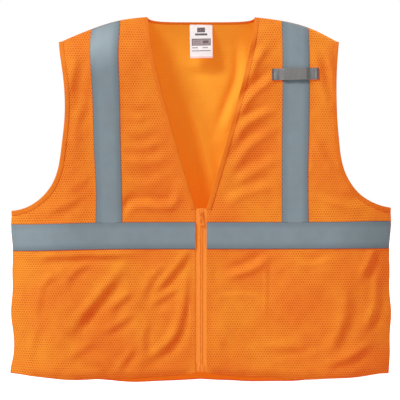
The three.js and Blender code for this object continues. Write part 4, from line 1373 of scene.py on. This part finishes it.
def make_mic_tab():
    grid = rectangle(TAB_LOW[0], TAB_HIGH[0], TAB_LOW[2] + TAB_INSET, TAB_HIGH[2] - TAB_INSET,
                     FINE_CELL)
    x, z = grid[..., 0], grid[..., 1]
    piece = closed_sheet("mic_tab_webbing", tab_point(x, z, 0), tab_point(x, z, TAB_THICKNESS), grid)
    dress(piece, WEBBING, "grey_webbing", "shell", "mic_tab")
    for end in ("inner", "outer"):
        node = "mic_tab_%s_bartack" % end
        low, high = node_box(node)
        middle = (low[0] + high[0]) / 2
        sewing = Stitching(BARTACK_RADIUS)
        for i, z in enumerate(np.arange(low[2] + 0.5, high[2] - 0.4, BARTACK_PITCH)):
            reach = BARTACK_REACH * (1 if i % 2 else -1)
            ends = tab_point(np.array([middle - reach, middle + reach]),
                             np.array([z, z + BARTACK_SLANT]), TAB_THICKNESS + BARTACK_RADIUS)
            sewing.one(ends[0], ends[1], (0, FRONT, 0))
        for shift in BARTACK_ROWS:
            line = tab_point(np.full(2, middle + shift), np.array([low[2], high[2]]),
                             TAB_THICKNESS + 0.1)
            sewing.row(line, (0, FRONT, 0))
        dress(sewing.make("bartack_" + end), GREY_THREAD, "grey_thread", "shell", node)


# ---------- Neck label ----------

LABEL_LOW, LABEL_HIGH = node_box("neck_label")
LABEL_CENTRE_X = (LABEL_LOW[0] + LABEL_HIGH[0]) / 2
LABEL_BACK = LABEL_HIGH[1]
LABEL_THICKNESS = 0.35
LABEL_HALF_WIDTH = 21
LABEL_CURL, LABEL_TIP_CURL = 0.96, 1.32
LABEL_CURL_TURN = 0.9 * math.pi
LABEL_CUP = 0.8
LABEL_SLIP = 0.8
LABEL_TILT = 0.018
PRINT_CELL = 3
PRINT_BOTTOM, PRINT_TOP = LABEL_THICKNESS - 0.02, LABEL_THICKNESS + 0.06
# Plain print: each bar's left, right, top and bottom in millimetres from the label's top left.
LABEL_BARS = (
    (14, 29, 6, 15), (10, 33, 17, 21),
    (3.5, 39.5, 27, 28.6), (3.5, 39.5, 38.6, 40.2), (3.5, 5.1, 28.6, 38.6), (37.9, 39.5, 28.6, 38.6),
    (7, 21, 30.8, 32.2), (7, 21, 34.6, 36), (24, 35.5, 30.6, 36.4),
    (4, 15, 43.6, 45), (24, 34, 43.6, 45), (3.5, 39, 49.4, 50.8),
)


def label_point(x, z, layer):
    """A place on the label, which hangs from its top edge with a slight curl."""
    drop = (LABEL_HIGH[2] - z) / (LABEL_HIGH[2] - LABEL_LOW[2])
    curl = LABEL_CURL * np.sin(drop * LABEL_CURL_TURN) + LABEL_TIP_CURL * drop ** 3
    cup = LABEL_CUP * drop * ((x - LABEL_CENTRE_X) / LABEL_HALF_WIDTH) ** 2
    y = LABEL_BACK - layer + curl + cup
    return np.stack([x + LABEL_SLIP * drop, y, z + LABEL_TILT * x], -1)


def make_label():
    grid = rectangle(LABEL_LOW[0], LABEL_HIGH[0], LABEL_LOW[2], LABEL_HIGH[2], FINE_CELL)
    x, z = grid[..., 0], grid[..., 1]
    uv = grid - np.array([LABEL_LOW[0], LABEL_HIGH[2]])
    piece = closed_sheet("label_ribbon", label_point(x, z, 0), label_point(x, z, LABEL_THICKNESS), uv)
    dress(piece, LABEL, "label_cloth", "label", "neck_label")
    line_inside(piece, LABEL_BACK_CLOTH)


def make_label_print():
    vertices, faces, coordinates = [], [], []
    for left, right, top, bottom in LABEL_BARS:
        across = max(int((right - left) / PRINT_CELL), 1)
        down = max(int((bottom - top) / PRINT_CELL), 1)
        x = np.linspace(LABEL_LOW[0] + left, LABEL_LOW[0] + right, across + 1)
        z = np.linspace(LABEL_HIGH[2] - bottom, LABEL_HIGH[2] - top, down + 1)
        x, z = np.meshgrid(x, z)
        first = len(vertices)
        for layer in (PRINT_BOTTOM, PRINT_TOP):
            vertices.extend(label_point(x, z, layer).reshape(-1, 3))
            coordinates.extend(np.stack([x, z], -1).reshape(-1, 2))
        faces.extend(sheet_faces(*x.shape, first))
    printed = make_object("label_print", np.array(vertices), faces, np.array(coordinates))
    dress(printed, INK, "label_cloth", "label")


# ---------- Zip ----------

ZIP_TAPE_LOW, ZIP_TAPE_HIGH = node_box("left_zip_tape")
COIL_PITCH = 1.5
COIL_WIRE = 0.34
COIL_REACH = 3.3
COIL_GAP = 0.62
COIL_Y = -33.45
COIL_DEPTH = 0.36
COIL_STEPS = 12
COIL_SIDES = 5
ZIP_TAPE_START = 0.35
ZIP_TAPE_FRONT = -32.75
ZIP_TAPE_CELL = 2.4
ZIP_ROWS = (4.6, 12.2, 18.6)
ZIP_ROW_END = 2
ZIP_TAPE_THICKNESS = 0.5
STOP_X = (0.5, 3.8)
STOP_Y = (-34.1, -31.7)
STOP_BEVEL = 0.6
PIN_BEVEL = 0.7
PIN_INSET = 0.02


def smooth_block(low, high, bevel):
    """A block with rounded edges and corners, as vertices and faces."""
    low, high = np.array(low, float), np.array(high, float)
    stops = [np.array([low[a], low[a] + bevel, high[a] - bevel, high[a]]) for a in range(3)]
    places, vertices, faces = {}, [], []

    def corner(i, j, k):
        if (i, j, k) not in places:
            point = np.array([stops[0][i], stops[1][j], stops[2][k]])
            inner = np.clip(point, low + bevel, high - bevel)
            away = point - inner
            length = np.linalg.norm(away)
            if length > 0:
                point = inner + away / length * bevel
            places[(i, j, k)] = len(vertices)
            vertices.append(point)
        return places[(i, j, k)]

    for axis in range(3):
        one, other = (axis + 1) % 3, (axis + 2) % 3
        for level in (0, 3):
            for a in range(3):
                for b in range(3):
                    quad = []
                    for da, db in ((0, 0), (1, 0), (1, 1), (0, 1)):
                        where = [0, 0, 0]
                        where[axis], where[one], where[other] = level, a + da, b + db
                        quad.append(corner(*where))
                    faces.append(quad if level else quad[::-1])
    return np.array(vertices), faces


def join_parts(name, parts):
    """Several closed parts as one piece."""
    vertices, faces = [], []
    for points, sides in parts:
        first = len(vertices)
        vertices.extend(points)
        faces.extend([[corner + first for corner in side] for side in sides])
    vertices = np.array(vertices)
    return make_object(name, vertices, faces, vertices[:, [0, 2]], HARD_SHARP)


def plate(outline, front_y, back_y, bevel, holes=()):
    """A plate with rounded edges from its outline and holes in X and Z, as one closed part."""
    loops = [np.array(outline, float)] + [np.array(hole, float) for hole in holes]
    levels = ((front_y, bevel), (front_y + bevel, 0), (back_y - bevel, 0), (back_y, bevel))
    vertices, faces, starts = [], [], []
    for which, loop in enumerate(loops):
        turn = np.sum(loop[:, 0] * np.roll(loop[:, 1], -1) - loop[:, 1] * np.roll(loop[:, 0], -1))
        if turn < 0:
            loop = loop[::-1]
        ahead, behind = np.roll(loop, -1, axis=0), np.roll(loop, 1, axis=0)
        tangent = unit(ahead - behind)
        inward = np.stack([-tangent[:, 1], tangent[:, 0]], -1) * (-1 if which else 1)
        starts.append((len(vertices), len(loop)))
        for y, inset in levels:
            moved = loop + inward * inset
            vertices.extend([[px, y, pz] for px, pz in moved])
    for which, (first, count) in enumerate(starts):
        for level in range(3):
            for j in range(count):
                k = (j + 1) % count
                quad = [first + level * count + j, first + level * count + k,
                        first + (level + 1) * count + k, first + (level + 1) * count + j]
                faces.append(quad[::-1] if which else quad)
    for level in (0, 3):
        rims, index = [], []
        for first, count in starts:
            rim = list(range(first + level * count, first + (level + 1) * count))
            rims.append([Vector((vertices[i][0], vertices[i][2], 0)) for i in rim])
            index.extend(rim)
        for triangle in tessellate_polygon(rims):
            corners = [index[i] for i in triangle]
            a, b, c = (np.array(vertices[i])[[0, 2]] for i in corners)
            spin = (b[0] - a[0]) * (c[1] - a[1]) - (b[1] - a[1]) * (c[0] - a[0])
            if (spin > 0) == (level == 0):
                corners = corners[::-1]
            faces.append(corners)
    return np.array(vertices), faces


def rounded_outline(half_top, half_bottom, high_z, low_z, radius, steps=5):
    """A four-sided outline with round corners, wide as given at its top and bottom."""
    found = []
    corners = ((half_bottom, low_z, -90), (half_top, high_z, 0), (-half_top, high_z, 90),
               (-half_bottom, low_z, 180))
    for x, z, first in corners:
        centre = np.array([x - math.copysign(radius, x), z + (radius if z == low_z else -radius)])
        for step in range(steps + 1):
            turn = math.radians(first + 90 * step / steps)
            found.append(centre + radius * np.array([math.cos(turn), math.sin(turn)]))
    return found


def make_coil(name, side, low_z, high_z):
    """One flattened spiral, whose turns reach between the other side's turns."""
    turns = int((high_z - low_z) / COIL_PITCH)
    count = turns * COIL_STEPS
    angle = np.arange(count + 1) / COIL_STEPS * math.tau
    half_width = (COIL_REACH - COIL_GAP) / 2 - COIL_WIRE
    centre_x = side * (COIL_REACH + COIL_GAP) / 2
    shift = 0.25 * COIL_PITCH * side
    x = centre_x - side * half_width * np.cos(angle)
    y = COIL_Y + COIL_DEPTH * np.sin(angle)
    z = low_z + 0.5 * COIL_PITCH + angle / math.tau * COIL_PITCH + shift
    z = np.minimum(z, high_z - COIL_WIRE)
    path = np.stack([x, y, z], -1)
    forward = unit(np.gradient(path, axis=0))
    outward = path - np.stack([np.full_like(x, centre_x), np.full_like(x, COIL_Y), z], -1)
    across = unit(np.cross(forward, outward))
    rings = circles(path, COIL_WIRE, across, np.cross(across, forward), COIL_SIDES)
    around = np.arange(COIL_SIDES)[None] / COIL_SIDES * math.tau * COIL_WIRE
    return swept(name, rings, np.stack(np.broadcast_arrays(z[:, None], around), -1))


def make_zip():
    for name, side in SIDES:
        grid = rectangle(ZIP_TAPE_START, ZIP_TAPE_HIGH[0], ZIP_TAPE_LOW[2], ZIP_TAPE_HIGH[2],
                         ZIP_TAPE_CELL)
        grid = mirrored(grid, side)
        x, z = grid[..., 0], grid[..., 1]
        front = np.stack([x, np.full_like(x, ZIP_TAPE_FRONT), z], -1)
        back = front + np.array([0, ZIP_TAPE_THICKNESS, 0])
        piece = closed_sheet("zip_tape_" + name, back, front, grid)
        dress(piece, ZIP_CLOTH, "zip_cloth", name + "_flap", name + "_zip_tape")
        low, high = node_box(name + "_zip_coil")
        coil = make_coil("coil_" + name, side, low[2], high[2])
        dress(coil, PLASTIC, "zip_plastic", name + "_flap", name + "_zip_coil")
        sewing = Stitching()
        for x in ZIP_ROWS:
            line = np.array([(side * x, ZIP_TAPE_FRONT + ZIP_TAPE_THICKNESS + 0.1, z)
                             for z in (ZIP_TAPE_LOW[2] + ZIP_ROW_END, ZIP_TAPE_HIGH[2] - ZIP_ROW_END)])
            sewing.row(line, (0, BACK, 0))
        dress(sewing.make("zip_stitches_" + name), ORANGE_THREAD, "zip_cloth", name + "_flap")
        low, high = node_box(name + "_top_stop")
        near, far = sorted((side * STOP_X[0], side * STOP_X[1]))
        block = smooth_block((near, STOP_Y[0], low[2]), (far, STOP_Y[1], high[2]), STOP_BEVEL)
        stop = join_parts("stop_" + name, [block])
        dress(stop, PLASTIC, "zip_plastic", name + "_flap", name + "_top_stop")
    for node, body in (("retainer_pin", "right_flap"), ("insertion_pin", "left_flap")):
        low, high = node_box(node)
        block = smooth_block(low + PIN_INSET, high - PIN_INSET, PIN_BEVEL)
        dress(join_parts(node + "_round", [block]), PLASTIC, "zip_plastic", body, node)


TRAY_WALL = 1.0
TRAY_LIP = 0.8
TRAY_LAP = 0.2
TRAY_BEVEL, TRAY_SIDE_BEVEL, TRAY_LIP_BEVEL = 0.35, 0.4, 0.3


def make_retainer():
    """A moulded tray for both pins, open at its front and its top."""
    low, high = node_box("retainer_box")
    wall, lap = TRAY_WALL, TRAY_LAP
    parts = [
        smooth_block((low[0], high[1] - wall, low[2]), high, TRAY_BEVEL),
        smooth_block(low, (high[0], high[1] - wall + lap, low[2] + wall), TRAY_BEVEL),
    ]
    for edge in (low[0], high[0] - wall):
        parts.append(smooth_block((edge, low[1], low[2] + lap / 2),
                                  (edge + wall, high[1] - lap, high[2]), TRAY_SIDE_BEVEL))
    parts.append(smooth_block((low[0] + lap, low[1], low[2] + lap),
                              (high[0] - lap, low[1] + TRAY_LIP, low[2] + wall + lap), TRAY_LIP_BEVEL))
    dress(join_parts("retainer_tray", parts), PLASTIC, "zip_plastic", "right_flap", "retainer_box")


BAR_SIDES = 8


def bar(path, radius):
    """A round bar along a path in a plane of constant X, as one closed part."""
    path = np.array(path, float)
    across = np.array([1.0, 0, 0])
    up = np.cross(across, unit(np.gradient(path, axis=0)))
    rings = circles(path, radius, across, up, BAR_SIDES)
    return rings.reshape(-1, 3), tube_faces(len(path), BAR_SIDES)


SLIDER_FRONT = -35.3
SLIDER_PLATE = 1.0
SLIDER_TAIL_HALF = 3.6
SLIDER_CORNER = 1.6
SLIDER_BEVEL = 0.35
BRIDGE_HALF = 0.36
BRIDGE_LENGTH = 3
BRIDGE_LAP, BRIDGE_DROP, BRIDGE_BEVEL = 0.5, 0.4, 0.15
BAIL_FROM_TOP, BAIL_LENGTH = 1.5, 8
BAIL_RADIUS = 0.72
BAIL_SINK = 0.4
BAIL_MARGIN = 0.7
BAIL_ROUNDNESS = 0.7
BAIL_STEPS = 8


def bail_path(low_y, top_z):
    """The arch of wire on the slider that holds the pull."""
    depth = SLIDER_FRONT - low_y - BAIL_MARGIN
    reach = BAIL_LENGTH / 2
    middle = top_z - reach
    arch = [(0, SLIDER_FRONT + BAIL_SINK, top_z)]
    for step in range(BAIL_STEPS + 1):
        turn = math.pi * step / BAIL_STEPS
        out = depth * math.sin(turn) ** BAIL_ROUNDNESS
        arch.append((0, SLIDER_FRONT - out, middle + reach * math.cos(turn)))
    arch.append((0, SLIDER_FRONT + BAIL_SINK, top_z - BAIL_LENGTH))
    return arch


def make_slider():
    low, high = node_box("slider_body")
    outline = rounded_outline(high[0], SLIDER_TAIL_HALF, high[2], low[2], SLIDER_CORNER)
    bridge_low = (-BRIDGE_HALF, SLIDER_FRONT + BRIDGE_LAP, high[2] - BRIDGE_LENGTH)
    bridge_high = (BRIDGE_HALF, high[1] - BRIDGE_LAP, high[2] - BRIDGE_DROP)
    parts = [
        plate(outline, SLIDER_FRONT, SLIDER_FRONT + SLIDER_PLATE, SLIDER_BEVEL),
        plate(outline, high[1] - SLIDER_PLATE, high[1], SLIDER_BEVEL),
        smooth_block(bridge_low, bridge_high, BRIDGE_BEVEL),
        bar(bail_path(low[1], high[2] - BAIL_FROM_TOP), BAIL_RADIUS),
    ]
    dress(join_parts("zip_slider", parts), ENAMEL, "slider_enamel", "slider", "slider_body")


PULL_TOP_HALF, PULL_FOOT_HALF = 3.0, 3.9
PULL_CORNER = 1.5
PULL_HALF_THICKNESS = 0.6
PULL_BEVEL = 0.3
BAIL_HOLE_HALF, BAIL_HOLE_TOP, BAIL_HOLE_FOOT, BAIL_HOLE_CORNER = 1.75, 1.2, 5.6, 0.5
GRIP_HOLE_HALVES, GRIP_HOLE_TOP, GRIP_HOLE_FOOT, GRIP_HOLE_CORNER = (1.5, 1.9), 9.5, 3.2, 1.2


def make_pull():
    low, high = node_box("pull_tab")
    top, bottom = high[2], low[2]
    pivot_y = (low[1] + high[1]) / 2
    body = rounded_outline(PULL_TOP_HALF, PULL_FOOT_HALF, top, bottom, PULL_CORNER)
    bail_hole = rounded_outline(BAIL_HOLE_HALF, BAIL_HOLE_HALF, top - BAIL_HOLE_TOP,
                                top - BAIL_HOLE_FOOT, BAIL_HOLE_CORNER, steps=3)
    grip_hole = rounded_outline(*GRIP_HOLE_HALVES, top - GRIP_HOLE_TOP, bottom + GRIP_HOLE_FOOT,
                                GRIP_HOLE_CORNER, steps=4)
    tab = plate(body, pivot_y - PULL_HALF_THICKNESS, pivot_y + PULL_HALF_THICKNESS, PULL_BEVEL,
                (bail_hole, grip_hole))
    dress(join_parts("zip_pull", [tab]), ENAMEL, "slider_enamel", "pull", "pull_tab")


# ---------- Rows of stitches ----------

BINDING_ROW = BINDING_WIDTH - 1.6
TAPE_ROW = 2.2
HEM_ROW = 17.5
ROW_END = 2
ROW_POINTS = 90
HEM_ROW_POINTS = 60
THREAD_RISE = 0.15


def hem_row(low_x, high_x, face):
    x = np.linspace(low_x, high_x, HEM_ROW_POINTS)
    return np.stack([x, hem_line(x, face) + HEM_ROW], -1)


def tape_rows(sewing, side, face):
    on_tape = TAPE_INNER + TAPE_THICKNESS + THREAD_RISE
    for x in (TAPE_LOW_X + TAPE_ROW, TAPE_HIGH_X - TAPE_ROW):
        line = [(side * x, BELT_HIGH_Z + 1), (side * x, shoulder_line(x) - 2)]
        sewing.cloth_row(line, face, on_tape)


def belt_rows(sewing, low_x, high_x, face):
    on_belt = TAPE_INNER + BELT_LEVEL + TAPE_THICKNESS + THREAD_RISE
    for z in (BELT_LOW_Z + TAPE_ROW, BELT_HIGH_Z - TAPE_ROW):
        sewing.cloth_row([(low_x, z), (high_x, z)], face, on_belt)


def make_stitches():
    shares = np.linspace(0, 1, ROW_POINTS)
    on_binding = BINDING_THICKNESS + 0.05
    back, back_grey = Stitching(), Stitching()
    for name, side in SIDES:
        orange, grey = Stitching(), Stitching()
        orange.cloth_row(mirrored(v_edge.beside(shares, BINDING_ROW), side), FRONT, on_binding)
        armhole = mirrored(armhole_edge.beside(shares, -BINDING_ROW), side)
        orange.cloth_row(armhole, FRONT, on_binding)
        back.cloth_row(armhole, BACK, on_binding)
        for x in ZIP_ROWS[1:]:
            line = [(side * x, FRONT_HEM_Z + 3), (side * x, V_BOTTOM_Z - 1)]
            orange.cloth_row(line, FRONT, PANEL_THICKNESS + 0.1)
        start, end = side * (ZIP_EDGE + ROW_END), side * (CHEST - ROW_END)
        orange.cloth_row(hem_row(start, end, FRONT), FRONT, HEM_THICKNESS + 0.1)
        near, far = side * (POCKET_LOW[0] + ROW_END), side * (POCKET_HIGH[0] - ROW_END)
        low_z, high_z = POCKET_LOW[2], POCKET_HIGH[2]
        pocket = [(near, high_z), (near, low_z), (far, low_z), (far, high_z)]
        orange.cloth_row(pocket, FRONT, PANEL_THICKNESS + 0.02)
        tape_rows(grey, side, FRONT)
        tape_rows(back_grey, side, BACK)
        belt_rows(grey, start, end, FRONT)
        dress(orange.make("stitches_front_" + name), ORANGE_THREAD, "binding_cloth", "bend_" + name)
        dress(grey.make("tape_stitches_front_" + name), GREY_THREAD, "grey_thread", "bend_" + name)
    neck = back_neck_edge.beside(shares, BINDING_ROW)
    back.cloth_row(np.concatenate([neck, mirrored(neck, -1)[::-1]]), BACK, on_binding)
    back.cloth_row(hem_row(ROW_END - CHEST, CHEST - ROW_END, BACK), BACK, HEM_THICKNESS + 0.1)
    belt_rows(back_grey, ROW_END - CHEST, CHEST - ROW_END, BACK)
    dress(back.make("stitches_back"), ORANGE_THREAD, "binding_cloth", "shell")
    dress(back_grey.make("tape_stitches_back"), GREY_THREAD, "grey_thread", "shell")


# ---------- The vest ----------


def make_vest():
    panels = make_panels()
    neck = make_neck_bindings()
    armholes = {name: make_armhole_binding(name, side) for name, side in SIDES}
    hems = make_hems()
    seams = make_seams()
    make_tapes()
    make_pockets()
    make_mic_tab()
    make_label()
    make_label_print()
    make_zip()
    make_retainer()
    make_slider()
    make_pull()
    make_stitches()


make_vest()

# ---------- Floor, light and camera ----------

CAMERA_X = -0.0019
FLOOR_DROP = 0.012
FLOOR_SIZE = 60.0
FRAME_WIDTH = 0.760
CAMERA_DISTANCE = 5.0
SENSOR = 36.0
WORLD_LIGHT = 0.22
WORLD_SEEN = 1.0
FLOOR_SEEN = 0.9
KEY_STRENGTH = 3.6
KEY_FROM = (-0.62, -0.54, 0.66)
KEY_SOFTNESS = 22
FILL_STRENGTH = 0.25
FILL_FROM = (0.7, -0.9, 0.1)
FILL_SOFTNESS = 40
RIM_STRENGTH = 2.6
RIM_FROM = (0.75, 0.5, 0.6)
RIM_SOFTNESS = 24


def make_floor(height):
    half = FLOOR_SIZE / 2
    mesh = bpy.data.meshes.new("floor")
    corners = [(x * half, y * half, height) for x, y in ((-1, -1), (1, -1), (1, 1), (-1, 1))]
    mesh.from_pydata(corners, [], [(0, 1, 2, 3)])
    floor = bpy.data.objects.new("floor", mesh)
    bpy.context.scene.collection.objects.link(floor)
    shader = Shader("floor_paper", roughness=0.9, specular=0.0)
    shade = shader.range(shader.noise(shader.place(), scale=3, detail=4), 0.3, 0.7)
    shader.set("Base Color", shader.mix(shade, (0.42, 0.42, 0.42, 1), (0.46, 0.46, 0.46, 1)))
    rays = shader.node("ShaderNodeLightPath")
    shader.set("Emission Color", (1, 1, 1, 1))
    shader.set("Emission Strength", shader.math("MULTIPLY", rays.outputs["Is Camera Ray"], FLOOR_SEEN))
    floor.data.materials.append(shader.material)


def make_sun(name, strength, from_direction, softness):
    light = bpy.data.lights.new(name, "SUN")
    light.energy = strength
    light.angle = math.radians(softness)
    lamp = bpy.data.objects.new(name, light)
    lamp.rotation_mode = "QUATERNION"
    lamp.rotation_quaternion = Vector(from_direction).to_track_quat("Z", "Y")
    bpy.context.scene.collection.objects.link(lamp)


def make_world():
    """A white studio: soft light all round, and white where the camera sees past the vest."""
    world = bpy.data.worlds.new("studio")
    world.use_nodes = True
    tree = world.node_tree
    background = tree.nodes["Background"]
    background.inputs["Color"].default_value = (1, 1, 1, 1)
    rays = tree.nodes.new("ShaderNodeLightPath")
    strength = tree.nodes.new("ShaderNodeMapRange")
    strength.inputs["To Min"].default_value = WORLD_LIGHT
    strength.inputs["To Max"].default_value = WORLD_SEEN
    tree.links.new(rays.outputs["Is Camera Ray"], strength.inputs["Value"])
    tree.links.new(strength.outputs[0], background.inputs["Strength"])
    bpy.context.scene.world = world


def make_camera(low, high):
    centre = (low + high) / 2
    data = bpy.data.cameras.new("camera")
    data.sensor_width = SENSOR
    data.lens = SENSOR * CAMERA_DISTANCE / FRAME_WIDTH
    camera = bpy.data.objects.new("camera", data)
    camera.location = (CAMERA_X, -CAMERA_DISTANCE, centre.z)
    camera.rotation_euler = (math.radians(90), 0, 0)
    bpy.context.scene.collection.objects.link(camera)
    bpy.context.scene.camera = camera


def make_studio():
    low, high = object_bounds()
    make_floor(low.z - FLOOR_DROP)
    make_world()
    make_sun("key", KEY_STRENGTH, KEY_FROM, KEY_SOFTNESS)
    make_sun("fill", FILL_STRENGTH, FILL_FROM, FILL_SOFTNESS)
    make_sun("rim", RIM_STRENGTH, RIM_FROM, RIM_SOFTNESS)
    make_camera(low, high)
    bpy.context.scene.view_settings.view_transform = "Standard"


make_studio()
